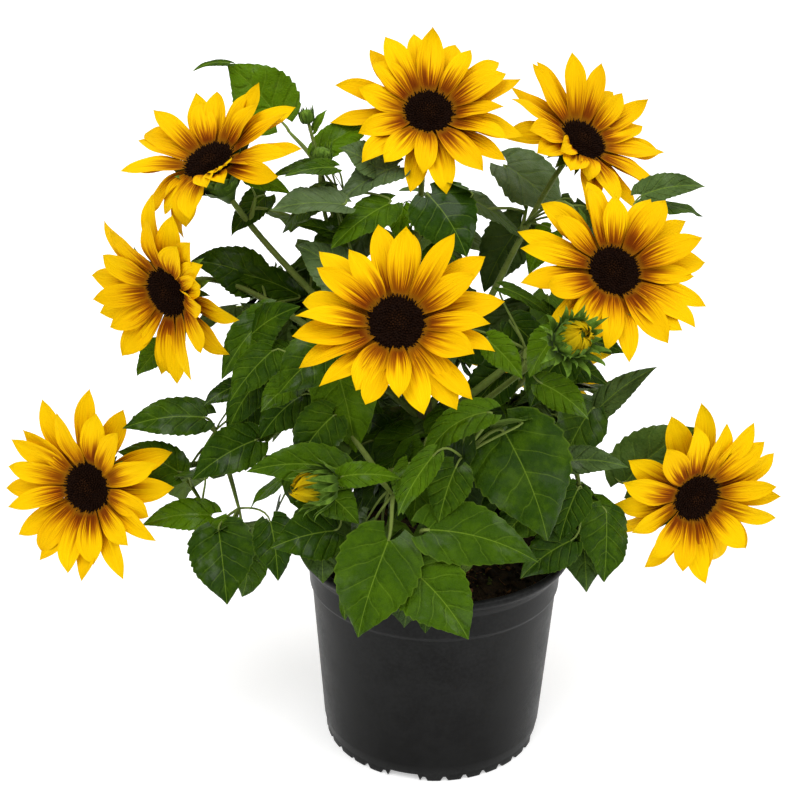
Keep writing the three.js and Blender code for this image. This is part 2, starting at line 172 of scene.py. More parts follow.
def turned(radius: Array, height: Array, columns: int) -> Array:
    """A profile turned once round Z, from its lower outer side up, so that faces point outwards.

    Formula: (r cos a, r sin a, z).

    Args:
        radius: Radii down the profile.
        height: Heights down the profile.
        columns: Steps round the axis.

    Returns:
        Points shaped (1, profile, columns, 3).
    """
    angle = -TURN * np.arange(columns) / columns
    flat = joined(np.cos(angle), np.sin(angle), 0.0)
    return (radius[:, None, None] * flat + height[:, None, None] * UP)[None]


def eased(profile: list[tuple[float, float]], reach: float, steps: int = 3) -> Array:
    """Rounds the corners of a profile with short quadratic arcs.

    Formula: (1-t)^2 A + 2t(1-t) B + t^2 C at each corner B, with A and C at most reach away.

    Args:
        profile: Pairs of radius and height.
        reach: Longest distance from a corner to the ends of its arc.
        steps: Points in each arc.

    Returns:
        Points shaped (places, 2).
    """
    corners = np.array(profile)
    before = corners[:-2] - corners[1:-1]
    after = corners[2:] - corners[1:-1]
    start, end = (
        corners[1:-1] + unit(side) * column(np.minimum(reach, 0.45 * np.linalg.norm(side, axis=1)))
        for side in (before, after)
    )
    share = np.linspace(0.0, 1.0, steps)[None, :, None]
    arcs = (
        (1 - share) ** 2 * start[:, None]
        + 2 * share * (1 - share) * corners[1:-1, None]
        + share**2 * end[:, None]
    )
    return np.concatenate([corners[:1], arcs.reshape(-1, 2), corners[-1:]])


def turn_from_z(facing: Array) -> Array:
    """The shortest turn that takes +Z to a facing, as a 3 x 3 matrix.

    Formula: R = I + K + K^2 / (1 + c), with K the cross matrix of Z x facing and c their dot.
    """
    x, y, c = -facing[1], facing[0], facing[2]
    cross = np.array([[0.0, 0.0, y], [0.0, 0.0, -x], [-y, x, 0.0]])
    return np.eye(3) + cross + cross @ cross / (1.0 + c)


def swept(start: Array, turn: Array, rise: Array, step: Array) -> tuple[Array, Array, Array, Array]:
    """Middle lines of sheets that leave their feet at changing headings and elevations.

    Formula: each row adds the mean of its own and the last row's tangent times the step.

    Args:
        start: Feet, shaped (sheets, 3).
        turn: Headings in degrees, shaped (sheets, rows).
        rise: Elevations in degrees, of the same shape.
        step: Distances between rows, which fit the shape (sheets, rows - 1, 1).

    Returns:
        Tangents, middle lines, level sides and the normals to both, shaped (sheets, rows, 3).
    """
    tangent = direction(turn, rise)
    run = np.cumsum(0.5 * (tangent[:, 1:] + tangent[:, :-1]) * step, axis=1)
    middle = start[:, None] + np.concatenate([np.zeros_like(run[:, :1]), run], axis=1)
    side = direction(turn + 90.0, 0.0)
    return tangent, middle, side, np.cross(tangent, side)


def rolled(tangent: Array, side: Array, normal: Array, roll: Array) -> tuple[Array, Array]:
    """A sheet's sides and normals, turned about its tangents by a roll in degrees."""
    roll = np.radians(roll)[..., None]
    side = np.cos(roll) * side + np.sin(roll) * normal
    return side, np.cross(tangent, side)


def edge_waves(share: Array, across: Array, phase: Array, counts: tuple[float, float]) -> Array:
    """Waves that run along both edges of sheets and die away towards the midrib.

    Formula: t^2 sin(2 pi (n s + p)) on each side, with a count n and a phase p of its own.

    Args:
        share: Places along a sheet, from 0 to 1.
        across: Places across it, from -1 to 1.
        phase: Two phases a sheet, in radians.
        counts: Waves along each edge.

    Returns:
        Heights shaped (sheets, rows, columns), as shares of the greatest.
    """
    first, second = (
        np.sin(TURN * counts[k] * share + phase[:, k, None])[..., None]
        * np.clip(way * across, 0, 1) ** 2
        for k, way in enumerate((1, -1))
    )
    return first + second


def sheet_points(middle: Array, *offsets: tuple[Array, Array]) -> Array:
    """Points of sheets: the middle lines, moved along each direction by each amount.

    Args:
        middle: Middle lines, shaped (sheets, rows, 3).
        offsets: Pairs of amounts (sheets, rows, columns) and directions (sheets, rows, 3).

    Returns:
        Points shaped (sheets, rows, columns, 3).
    """
    points = middle[:, :, None]
    for amount, way in offsets:
        points = points + amount[..., None] * way[:, :, None]
    return points


# ---------------------------------------------------------------- pieces


class PieceMesh:
    """Gathers grids of points into one mesh object.

    Each grid may hold many sheets or tubes of the same kind. Beside the points go two point
    attributes that the materials read: "place", where a point lies on its own sheet, and "tint",
    what sets that sheet apart. A flat layout, in which every sheet has a cell of its own, goes
    into a UV map.
    """

    LAYOUT_NAME = "OFBake"
    CELL_MARGIN = 0.04
    CAP_STRIP = 0.1

    def __init__(self, name: str) -> None:
        """Starts an empty piece under its name."""
        self.name = name
        self.points: list[Array] = []
        self.place: list[Array] = []
        self.tint: list[Array] = []
        self.faces: list[Array] = []
        self.corner_uv: list[Array] = []
        self.face_band: list[Array] = []
        self.band_count: list[int] = []
        self.band_share: list[float] = []
        self.total = 0

    def add(
        self,
        points: Array,
        place: Array | None = None,
        tint: Array | Colour = (0.5, 0.5, 0.5),
        closed: bool = False,
        share: float = 1.0,
    ) -> None:
        """Adds a batch of sheets or tubes.

        Args:
            points: Shaped (sheets, rows, columns, 3), in millimetres; a face's outside is rows
                cross columns.
            place: The same shape; (column share, row share, 0) if it is left out.
            tint: One for all the sheets, or shaped (sheets, 3).
            closed: True for tubes: the last column joins the first, and a face closes each end.
            share: How much of the flat layout this batch takes beside the others.
        """
        sheets, rows, columns = points.shape[:3]
        if sheets == 0:
            return
        index = self.total + np.arange(sheets * rows * columns).reshape(sheets, rows, columns)
        left = index if closed else index[:, :, :-1]
        right = np.roll(index, -1, axis=2) if closed else index[:, :, 1:]
        quads = joined(left[:, :-1], left[:, 1:], right[:, 1:], right[:, :-1])
        spans = quads.shape[2]
        margin, top = self.CELL_MARGIN, 1.0 - self.CAP_STRIP
        run = (np.arange(spans)[None, :, None] + np.array([0, 0, 1, 1])) / spans
        row = (np.arange(rows - 1)[:, None, None] + np.array([0, 1, 1, 0])) / (rows - 1)
        flat = margin + joined(run, row) * np.array([1.0 - 2 * margin, top - 2 * margin])
        self._keep(quads.reshape(sheets, -1, 4), flat.reshape(-1, 4, 2))
        if closed:
            angle = TURN * np.arange(columns) / columns
            circle = 0.5 * (self.CAP_STRIP - margin) * joined(np.cos(angle), np.sin(angle))
            for ends, across in ((index[:, 0], 0.3), (index[:, -1, ::-1], 0.7)):
                self._keep(ends[:, None], (circle + np.array([across, top]))[None])
        if place is None:
            place = joined(np.linspace(0.0, 1.0, columns), column(np.linspace(0.0, 1.0, rows)), 0.0)
        self.points.append(points.reshape(-1, 3) * MM)
        self.place.append(np.broadcast_to(place, points.shape).reshape(-1, 3))
        self.tint.append(np.repeat(np.broadcast_to(tint, (sheets, 3)), rows * columns, axis=0))
        self.band_count.append(sheets)
        self.band_share.append(share)
        self.total += sheets * rows * columns

    def _keep(self, faces: Array, flat: Array) -> None:
        """Keeps faces shaped (sheets, faces, corners) with the layout of one sheet's faces."""
        sheets = len(faces)
        cell = np.repeat(np.arange(sheets), faces.shape[1])
        self.faces.append(faces.reshape(-1, faces.shape[2]))
        self.corner_uv.append(np.tile(flat, (sheets, 1, 1)))
        self.face_band.append(joined(len(self.band_count), cell))

    def _laid_out(self) -> Array:
        """Corner places on the flat layout: a band per batch, and in it a cell per sheet."""
        heights = np.array(self.band_share) / np.sum(self.band_share)
        floors = np.concatenate([[0.0], np.cumsum(heights)[:-1]])
        placed = []
        for flat, band in zip(self.corner_uv, self.face_band, strict=True):
            number = band[0, 0]
            count, height = self.band_count[number], heights[number]
            across = math.ceil(math.sqrt(count / height))
            down = math.ceil(count / across)
            corner = joined(band[:, 1] % across, band[:, 1] // across)[:, None]
            cells = (corner + flat) / np.array([across, down])
            placed.append(
                (cells * np.array([1.0, height]) + np.array([0.0, floors[number]])).reshape(-1, 2)
            )
        return np.concatenate(placed)

    def finish(self, material: bpy.types.Material, slot: Slot, *nodes: str) -> None:
        """Makes the object, dresses it and hands it to the frame.

        Args:
            material: The finish of the whole piece.
            slot: The record's slot that the finish belongs to; not used.
            nodes: The solids that the piece stands for.
        """
        mesh = bpy.data.meshes.new(self.name)
        corners = np.concatenate([faces.reshape(-1) for faces in self.faces])
        sizes = np.concatenate([np.full(len(faces), faces.shape[1]) for faces in self.faces])
        starts = np.concatenate([[0], np.cumsum(sizes)[:-1]])
        mesh.vertices.add(self.total)
        mesh.vertices.foreach_set("co", np.concatenate(self.points).astype(np.float32).ravel())
        mesh.loops.add(len(corners))
        mesh.loops.foreach_set("vertex_index", corners.astype(np.int32))
        mesh.polygons.add(len(sizes))
        mesh.polygons.foreach_set("loop_start", starts.astype(np.int32))
        mesh.polygons.foreach_set("use_smooth", np.ones(len(sizes), dtype=bool))
        layout = mesh.uv_layers.new(name=self.LAYOUT_NAME)
        layout.uv.foreach_set("vector", self._laid_out().astype(np.float32).ravel())
        for name, values in (("place", self.place), ("tint", self.tint)):
            attribute = mesh.attributes.new(name, "FLOAT_VECTOR", "POINT")
            attribute.data.foreach_set("vector", np.concatenate(values).astype(np.float32).ravel())
        mesh.update(calc_edges=True)
        mesh.materials.append(material)
        piece = bpy.data.objects.new(self.name, mesh)
        bpy.context.scene.collection.objects.link(piece)
        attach(piece, "root")
        if nodes:
            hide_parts(*nodes)
        LOG.info("%s: %d triangles", self.name, np.sum(sizes - 2))


# ---------------------------------------------------------------- shader nodes

Socket = bpy.types.NodeSocket
Value = Socket | float


class Bench:
    """Adds shader nodes to one tree, and joins them by their sockets."""

    def __init__(self, tree: bpy.types.NodeTree) -> None:
        """Takes the tree to work on."""
        self.tree = tree

    def node(self, kind: str, **settings: object) -> bpy.types.Node:
        """A new node with its settings."""
        made = self.tree.nodes.new(kind)
        for name, value in settings.items():
            setattr(made, name, value)
        return made

    def feed(self, target: Socket, value: Value | Colour) -> None:
        """Joins a socket to the target, or sets a plain value on it."""
        if isinstance(value, bpy.types.NodeSocket):
            self.tree.links.new(value, target)
        elif isinstance(value, tuple) and target.type == "RGBA":
            target.default_value = (*value, 1.0)
        else:
            target.default_value = value

    def maths(self, operation: str, *values: Value) -> Socket:
        """One maths node."""
        made = self.node("ShaderNodeMath", operation=operation)
        for target, value in zip(made.inputs, values, strict=False):
            self.feed(target, value)
        return made.outputs[0]

    def times(self, first: Value, second: Value, plus: Value | None = None) -> Socket:
        """A product, with a third value added to it if one is given."""
        if plus is None:
            return self.maths("MULTIPLY", first, second)
        return self.maths("MULTIPLY_ADD", first, second, plus)

    def plus(self, first: Value, second: Value) -> Socket:
        """A sum."""
        return self.maths("ADD", first, second)

    def absolute(self, value: Value) -> Socket:
        """A value without its sign."""
        return self.maths("ABSOLUTE", value)

    def spread(
        self, value: Value, low: Value, high: Value, to: tuple[float, float] = (0.0, 1.0)
    ) -> Socket:
        """A smooth change of a value from low to high into the range "to"."""
        made = self.node("ShaderNodeMapRange", interpolation_type="SMOOTHSTEP")
        for name, part in (("Value", value), ("From Min", low), ("From Max", high)):
            self.feed(made.inputs[name], part)
        made.inputs["To Min"].default_value, made.inputs["To Max"].default_value = to
        return made.outputs["Result"]

    def mixed(self, share: Value, first: Value | Colour, second: Value | Colour) -> Socket:
        """A colour between two, by a share."""
        made = self.node("ShaderNodeMix", data_type="RGBA")
        self.feed(made.inputs[0], share)
        self.feed(made.inputs[6], first)
        self.feed(made.inputs[7], second)
        return made.outputs[2]

    def apart(self, vector: Socket) -> tuple[Socket, Socket, Socket]:
        """The three numbers of a vector."""
        made = self.node("ShaderNodeSeparateXYZ")
        self.feed(made.inputs[0], vector)
        return made.outputs[0], made.outputs[1], made.outputs[2]

    def together(self, x: Value, y: Value, z: Value) -> Socket:
        """A vector of three numbers."""
        made = self.node("ShaderNodeCombineXYZ")
        for target, value in zip(made.inputs, (x, y, z), strict=True):
            self.feed(target, value)
        return made.outputs[0]

    def attribute(self, name: str) -> Socket:
        """A point attribute of the mesh, as a vector."""
        return self.node("ShaderNodeAttribute", attribute_name=name).outputs["Vector"]

    def read(self, name: str) -> tuple[Socket, Socket, Socket]:
        """The three numbers of a point attribute."""
        return self.apart(self.attribute(name))

    def object_place(self) -> Socket:
        """The point's place in the object's own coordinates."""
        return self.node("ShaderNodeTexCoord").outputs["Object"]

    def noise(self, vector: Socket, scale: Value, detail: float = 3.0) -> Socket:
        """Noise from 0 to 1."""
        made = self.node("ShaderNodeTexNoise")
        self.feed(made.inputs["Vector"], vector)
        self.feed(made.inputs["Scale"], scale)
        made.inputs["Detail"].default_value = detail
        return made.outputs[0]

    def bump(
        self, height: Socket, distance: float, strength: float = 1.0, normal: Socket | None = None
    ) -> Socket:
        """A normal that stands for a height, with its full depth in metres, over another one."""
        made = self.node("ShaderNodeBump")
        self.feed(made.inputs["Height"], height)
        if normal is not None:
            self.feed(made.inputs["Normal"], normal)
        made.inputs["Distance"].default_value = distance
        made.inputs["Strength"].default_value = strength
        return made.outputs[0]

    def group(self, tree: bpy.types.NodeTree, **values: Value) -> bpy.types.NodeOutputs:
        """Places a node group and feeds its inputs."""
        made = self.node("ShaderNodeGroup", node_tree=tree)
        self.dress(made.inputs, **values)
        return made.outputs

    def dress(self, sockets: bpy.types.NodeInputs, **values: Value | Colour) -> None:
        """Feeds sockets by their names, in which spaces are underscores."""
        for name, value in values.items():
            self.feed(sockets[name.replace("_", " ")], value)


def new_group(
    name: str, inputs: dict[str, str], outputs: dict[str, str]
) -> tuple[Bench, bpy.types.NodeOutputs, bpy.types.NodeInputs]:
    """A shader node group with named sockets.

    Args:
        name: The group's name.
        inputs: Names and kinds of its inputs, such as "Float" or "Vector".
        outputs: Names and kinds of its outputs.

    Returns:
        A bench on the group, the sockets that bring values in and the sockets that take them out.
    """
    tree = bpy.data.node_groups.new(name, "ShaderNodeTree")
    for names, way in ((inputs, "INPUT"), (outputs, "OUTPUT")):
        for label, kind in names.items():
            tree.interface.new_socket(label, in_out=way, socket_type=f"NodeSocket{kind}")
    entry = tree.nodes.new("NodeGroupInput")
    leave = tree.nodes.new("NodeGroupOutput")
    return Bench(tree), entry.outputs, leave.inputs


class Effects:
    """Shader node groups that several finishes share."""

    def __init__(self) -> None:
        """Builds each group once."""
        self.mottle = self._mottle()
        self.veins = self._veins()
        self.lines = self._lines()
        self.grain = self._grain()

    @staticmethod
    def _mottle() -> bpy.types.NodeTree:
        """Soft blotches from 0 to 1, with a second, finer layer."""
        bench, given, out = new_group(
            "mottle", {"Vector": "Vector", "Size": "Float"}, {"Value": "Float"}
        )
        scale = bench.maths("DIVIDE", 1.0, given["Size"])
        coarse = bench.noise(given["Vector"], scale, 2.0)
        fine = bench.noise(given["Vector"], bench.times(scale, 4.3), 3.0)
        both = bench.plus(bench.times(coarse, 0.7), bench.times(fine, 0.3))
        bench.feed(out["Value"], bench.spread(both, 0.32, 0.68))
        return bench.tree

    @staticmethod
    def _veins() -> bpy.types.NodeTree:
        """Midrib, side veins and the quilting between them, from a leaf's place and length.

        With a the share across and s the share along, side veins lie where
        4.8 (s - a (0.42 - 0.26 s)) is a whole number, so that the lowest pair sweeps furthest.
        Noise of each leaf's own moves the veins, so that no two run alike.
        """
        bench, given, out = new_group(
            "leaf_veins",
            {"Place": "Vector", "Length": "Float"},
            {"Midrib": "Float", "Veins": "Float", "Height": "Float"},
        )
        side, share, off = bench.apart(given["Place"])
        across = bench.absolute(side)
        half_width = bench.times(share, -0.5, 0.65)
        midrib = bench.spread(off, 0.15, half_width, (1.0, 0.0))
        sweep = bench.times(share, -0.26, 0.42)
        even = bench.maths("SUBTRACT", share, bench.times(across, sweep))
        own = bench.together(bench.times(side, 1.6), share, given["Length"])
        moved = bench.times(bench.noise(own, 1.2, 1.0), 0.12, even)
        count = bench.times(moved, 4.8)
        nearest = bench.absolute(bench.maths("SUBTRACT", count, bench.maths("ROUND", count)))
        distance = bench.times(nearest, bench.maths("DIVIDE", given["Length"], 4.8))
        inner = bench.spread(across, 0.55, 0.95, (1.0, 0.0))
        lower = bench.spread(share, 0.6, 0.9, (1.0, 0.0))
        thin = bench.spread(distance, 0.12, 0.50, (1.0, 0.0))
        veins = bench.times(bench.times(thin, inner), lower)
        pillow = bench.spread(nearest, 0.0, 0.25)
        raised = bench.times(pillow, bench.spread(off, 0.2, 3.0))
        bench.feed(out["Midrib"], midrib)
        bench.feed(out["Veins"], veins)
        bench.feed(out["Height"], raised)
        return bench.tree

    @staticmethod
    def _lines() -> bpy.types.NodeTree:
        """Thin lines that run along a sheet or stem, from 0 to 1, each sheet with its own."""
        bench, given, out = new_group(
            "lengthwise_lines",
            {"Place": "Vector", "Own": "Float", "Count": "Float"},
            {"Value": "Float"},
        )
        across, share, _ = bench.apart(given["Place"])
        own = bench.times(given["Own"], 37.0)
        vector = bench.together(
            bench.times(across, given["Count"], own),
            bench.times(share, 1.3),
            own,
        )
        bench.feed(out["Value"], bench.spread(bench.noise(vector, 1.0, 2.0), 0.3, 0.7))
        return bench.tree

    @staticmethod
    def _grain() -> bpy.types.NodeTree:
        """A fine net of cells with noise over it, as a height from 0 to 1."""
        bench, given, out = new_group(
            "fine_grain", {"Vector": "Vector", "Size": "Float"}, {"Height": "Float"}
        )
        scale = bench.maths("DIVIDE", 1.0, given["Size"])
        cells = bench.node("ShaderNodeTexVoronoi", feature="DISTANCE_TO_EDGE")
        bench.feed(cells.inputs["Vector"], given["Vector"])
        bench.feed(cells.inputs["Scale"], scale)
        net = bench.spread(cells.outputs["Distance"], 0.0, 0.25)
        noise = bench.noise(given["Vector"], bench.times(scale, 2.2), 2.0)
        height = bench.plus(bench.times(net, 0.6), bench.times(noise, 0.4))
        bench.feed(out["Height"], height)
        return bench.tree


def new_finish(name: str) -> tuple[bpy.types.Material, Bench, bpy.types.NodeInputs]:
    """A material with one Principled shader.

    Args:
        name: The material's name.

    Returns:
        The material, a bench on its nodes and the shader's inputs.
    """
    material = bpy.data.materials.new(name)
    material.use_nodes = True
    bench = Bench(material.node_tree)
    bench.tree.nodes.clear()
    shader = bench.node("ShaderNodeBsdfPrincipled")
    output = bench.node("ShaderNodeOutputMaterial")
    bench.feed(output.inputs["Surface"], shader.outputs[0])
    return material, bench, shader.inputs


# ---------------------------------------------------------------- finishes


@dataclass(frozen=True)
class LeafFinish:
    """Quilted leaves: deep to fresh green with painted shade, light and sheen, pale veins and edge, paler
    and duller underneath.
    """

    deep: Colour = (0.016, 0.044, 0.0008)
    fresh: Colour = (0.070, 0.140, 0.0012)
    # Partly a new leaf's own yellow-green, partly painted light shining through the leaf.
    young_and_backlit_green: Colour = (0.140, 0.290, 0.0025)
    vein: Colour = (0.180, 0.280, 0.022)
    underside: Colour = (0.110, 0.170, 0.030)
    # Painted sheen: a reflection of the bright surroundings, mixed into the colour.
    painted_sheen: Colour = (0.105, 0.152, 0.062)
    gloss: float = 0.25
    quilt_depth: float = 1.0 * MM
    blister_size: float = 9.0 * MM
    blister_depth: float = 2.2 * MM
    net_size: float = 2.2 * MM
    net_depth: float = 0.45 * MM

    def material(self, effects: Effects) -> bpy.types.Material:
        """The material, which reads "place" and "tint" (shade, youth_and_painted_light, length in mm).

        Shade darkens the green: partly a leaf's own tone, partly painted shade. Above 0 the second
        tint number mixes in a yellow-green, partly a new leaf's own colour and partly painted light
        shining through; below 0 it mixes in a painted sheen that stands for a reflection of the bright
        surroundings.
        """
        material, bench, shader = new_finish("leaf_green")
        place, tint = bench.attribute("place"), bench.attribute("tint")
        shade, youth_and_painted_light, length = bench.apart(tint)
        across, _, _ = bench.apart(place)
        spot = bench.object_place()
        mottle = bench.group(effects.mottle, Vector=spot, Size=14 * MM)[0]
        glints = bench.group(effects.mottle, Vector=spot, Size=24 * MM)[0]
        veins = bench.group(effects.veins, Place=place, Length=length)
        net = bench.group(effects.grain, Vector=spot, Size=self.net_size)[0]
        # Painted shade: the shade tint darkens the green, partly each leaf's own tone and partly painted
        # shade for leaves that lie in shadow, with mottle over it.
        mottle_and_shade = bench.times(mottle, 0.42, bench.times(shade, 0.85, -0.20))
        colour = bench.mixed(bench.spread(mottle_and_shade, 0.0, 1.0), self.deep, self.fresh)
        # Painted light: above 0 the second tint number mixes in a yellow-green, partly a new leaf's own
        # colour and partly painted light shining through. Painted sheen: below 0 it mixes in a pale
        # colour that stands for a reflection of the bright surroundings.
        colour = bench.mixed(youth_and_painted_light, colour, self.young_and_backlit_green)
        painted_sheen_share = bench.times(youth_and_painted_light, bench.times(mottle, -0.5, -0.6))
        colour = bench.mixed(bench.maths("MAXIMUM", painted_sheen_share, 0.0), colour, self.painted_sheen)
        colour = bench.mixed(bench.times(veins["Veins"], 0.23), colour, self.vein)
        colour = bench.mixed(bench.times(veins["Midrib"], 0.5), colour, self.vein)
        edge = bench.spread(bench.absolute(across), 0.95, 1.0, (0.0, 0.25))
        colour = bench.mixed(edge, colour, self.vein)
        behind = bench.node("ShaderNodeNewGeometry").outputs["Backfacing"]
        colour = bench.mixed(bench.times(behind, 0.8), colour, self.underside)
        rough = bench.times(mottle, 0.16, 0.40)
        rough = bench.times(behind, 0.2, rough)
        blisters = bench.noise(spot, 1.0 / self.blister_size, 1.5)
        normal = bench.bump(veins["Height"], self.quilt_depth, 0.85)
        normal = bench.bump(blisters, self.blister_depth, 0.6, normal)
        normal = bench.bump(net, self.net_depth, 0.7, normal)
        glossy = bench.times(bench.spread(glints, 0.4, 0.95), self.gloss)
        bench.dress(
            shader,
            Base_Color=colour,
            Roughness=rough,
            Normal=normal,
            Coat_Weight=bench.times(behind, -0.4, glossy),
            Specular_IOR_Level=0.05,
            Coat_Roughness=0.19,
        )
        return material


@dataclass(frozen=True)
class PetalFinish:
    """Golden petals, streaked orange brown from the foot, with fine lines along them."""

    gold: Colour = (0.880, 0.520, 0.0006)
    amber: Colour = (0.740, 0.300, 0.0006)
    lemon: Colour = (0.930, 0.610, 0.0012)
    rust: Colour = (0.460, 0.125, 0.0010)
    brown: Colour = (0.150, 0.028, 0.0010)
    foot: Colour = (0.260, 0.110, 0.0040)
    bud: Colour = (0.230, 0.280, 0.0080)

    def material(self, effects: Effects) -> bpy.types.Material:
        """The material, which reads "place" and "tint" (own number, depth of gold, browning)."""
        material, bench, shader = new_finish("petal_gold")
        place, tint = bench.attribute("place"), bench.attribute("tint")
        own, depth, browning = bench.apart(tint)
        across, share, _ = bench.apart(place)
        streak = bench.group(effects.lines, Place=place, Own=own, Count=8.0)[0]
        fine = bench.group(effects.lines, Place=place, Own=own, Count=13.0)[0]
        colour = bench.mixed(bench.spread(share, 0.25, 0.95), self.gold, self.lemon)
        colour = bench.mixed(bench.times(depth, 0.5), colour, self.amber)
        colour = bench.mixed(bench.times(fine, 0.16), colour, self.amber)
        middle = bench.spread(bench.absolute(across), 0.35, 1.1, (1.0, 0.7))
        streak = bench.times(fine, 0.35, bench.times(streak, 0.65))
        strong = bench.times(browning, bench.times(own, 0.3, 0.8))
        stains = ((self.rust, 0.36, 0.50, 0.95), (self.brown, 0.10, 0.56, 0.95))
        for stain, low, streaked, strength in stains:
            reach = bench.times(streak, streaked, low)
            start = bench.times(reach, 0.35)
            stained = bench.spread(share, start, reach, (strength, 0.0))
            stained = bench.times(stained, bench.times(middle, strong))
            colour = bench.mixed(stained, colour, stain)
        foot = bench.mixed(browning, self.bud, self.foot)
        green = bench.times(browning, -1.35, 1.50)
        colour = bench.mixed(bench.spread(share, 0.03, green, (0.7, 0.0)), colour, foot)
        bench.dress(
            shader,
            Base_Color=colour,
            Roughness=bench.times(fine, 0.12, 0.50),
            Normal=bench.bump(fine, 0.35 * MM, 0.7),
            Specular_IOR_Level=0.02,
        )
        return material


@dataclass(frozen=True)
class DiscFinish:
    """Dark brown florets, lighter in the middle and at the rim, and darker towards each floret's foot by
    a painted shade.
    """

    dark: Colour = (0.0060, 0.0018, 0.0008)
    warm: Colour = (0.050, 0.017, 0.004)

    def material(self, effects: Effects) -> bpy.types.Material:
        """The material, which reads "place" (share of the floret's height) and "tint"."""
        material, bench, shader = new_finish("disc_brown")
        own, light, _ = bench.read("tint")
        _, share, _ = bench.read("place")
        mottle = bench.group(effects.mottle, Vector=bench.object_place(), Size=3 * MM)[0]
        # Painted shade: each floret darkens towards its foot, down among the others.
        lit = bench.times(light, bench.times(share, 0.7, 0.3))
        lit = bench.plus(lit, bench.times(bench.times(own, mottle), 0.12))
        bench.dress(
            shader,
            Base_Color=bench.mixed(lit, self.dark, self.warm),
            Roughness=bench.times(mottle, 0.2, 0.65),
            Specular_IOR_Level=0.05,
        )
        return material


@dataclass(frozen=True)
class StemFinish:
    """Hairy green stems with brownish lines along their ribs."""

    name: str = "stem_green"
    green: Colour = (0.105, 0.165, 0.018)
    light: Colour = (0.215, 0.290, 0.060)
    brown: Colour = (0.120, 0.085, 0.038)

    def material(self, effects: Effects) -> bpy.types.Material:
        """The material, which reads "tint" (own number, browning, paleness)."""
        material, bench, shader = new_finish(self.name)
        own, browning, pale = bench.read("tint")
        spot = bench.object_place()
        mottle = bench.group(effects.mottle, Vector=spot, Size=9 * MM)[0]
        fine = bench.group(effects.mottle, Vector=spot, Size=1.6 * MM)[0]
        rib = bench.group(effects.lines, Place=bench.attribute("place"), Own=own, Count=5.0)[0]
        colour = bench.mixed(bench.times(mottle, 0.5, pale), self.green, self.light)
        stain = bench.times(bench.times(rib, browning), 0.9)
        colour = bench.mixed(stain, colour, self.brown)
        colour = bench.mixed(bench.times(fine, 0.2), colour, self.light)
        bench.dress(
            shader,
            Base_Color=colour,
            Roughness=bench.times(fine, 0.15, 0.5),
            Normal=bench.bump(fine, 0.3 * MM, 0.6),
            Specular_IOR_Level=0.15,
        )
        return material


@dataclass(frozen=True)
class BractFinish:
    """Green bracts, darker at the foot by a painted shadow, and paler towards the tip and the edge."""

    green: Colour = (0.050, 0.108, 0.005)
    light: Colour = (0.175, 0.300, 0.030)
    deep: Colour = (0.014, 0.034, 0.003)

    def material(self, effects: Effects) -> bpy.types.Material:
        """The material, which reads "place" and "tint" (own number, paleness)."""
        material, bench, shader = new_finish("bract_green")
        place = bench.attribute("place")
        own, pale, _ = bench.read("tint")
        across, share, _ = bench.apart(place)
        line = bench.group(effects.lines, Place=place, Own=own, Count=6.0)[0]
        mottle = bench.group(effects.mottle, Vector=bench.object_place(), Size=5 * MM)[0]
        tip = bench.spread(share, 0.1, 0.9, (0.0, 0.5))
        lit = bench.plus(tip, bench.times(pale, 0.5))
        lit = bench.plus(lit, bench.times(line, 0.2))
        edge = bench.spread(bench.absolute(across), 0.75, 1.0, (0.0, 0.35))
        lit = bench.plus(bench.times(lit, mottle), edge)
        # Painted shadow: each bract darkens towards its foot, where it leaves the cup.
        foot = bench.spread(share, 0.0, 0.45, (0.6, 0.0))
        colour = bench.mixed(foot, bench.mixed(lit, self.green, self.light), self.deep)
        bench.dress(
            shader,
            Base_Color=colour,
            Roughness=bench.times(mottle, 0.12, 0.55),
            Normal=bench.bump(line, 0.2 * MM, 0.5),
            Specular_IOR_Level=0.10,
            Sheen_Weight=0.03,
        )
        return material


@dataclass(frozen=True)
class PotFinish:
    """Satin black moulded plastic with faint moulding grain, lighter along its edges: at the foot by
    rubbing, on the lip and the growing line partly by rubbing and partly by a painted highlight.
    """

    black: Colour = (0.0028, 0.0028, 0.0025)
    rubbed_and_highlight: Colour = (0.040, 0.041, 0.041)

    def material(self, effects: Effects) -> bpy.types.Material:
        """The material, which reads "place" (how much lighter an edge is, in its third number: partly
        worn, partly a painted highlight).
        """
        material, bench, shader = new_finish("pot_black")
        _, _, wear_and_highlight = bench.read("place")
        spot = bench.object_place()
        mottle = bench.group(effects.mottle, Vector=spot, Size=22 * MM)[0]
        scuff = bench.group(effects.mottle, Vector=spot, Size=2.5 * MM)[0]
        grain = bench.group(effects.grain, Vector=spot, Size=0.8 * MM)[0]
        # Lighter edges: partly worn plastic, and on the lip and the growing line partly a painted
        # highlight.
        rubbed_and_highlight = bench.times(wear_and_highlight, bench.times(scuff, 0.6, 0.25))
        dust = bench.times(mottle, 0.10)
        colour = bench.mixed(bench.plus(rubbed_and_highlight, dust), self.black, self.rubbed_and_highlight)
        rough = bench.times(scuff, 0.06, bench.times(mottle, 0.08, 0.33))
        bench.dress(
            shader,
            Base_Color=colour,
            Roughness=rough,
            Normal=bench.bump(grain, 0.04 * MM, 0.35),
            Specular_IOR_Level=0.08,
        )
        return material


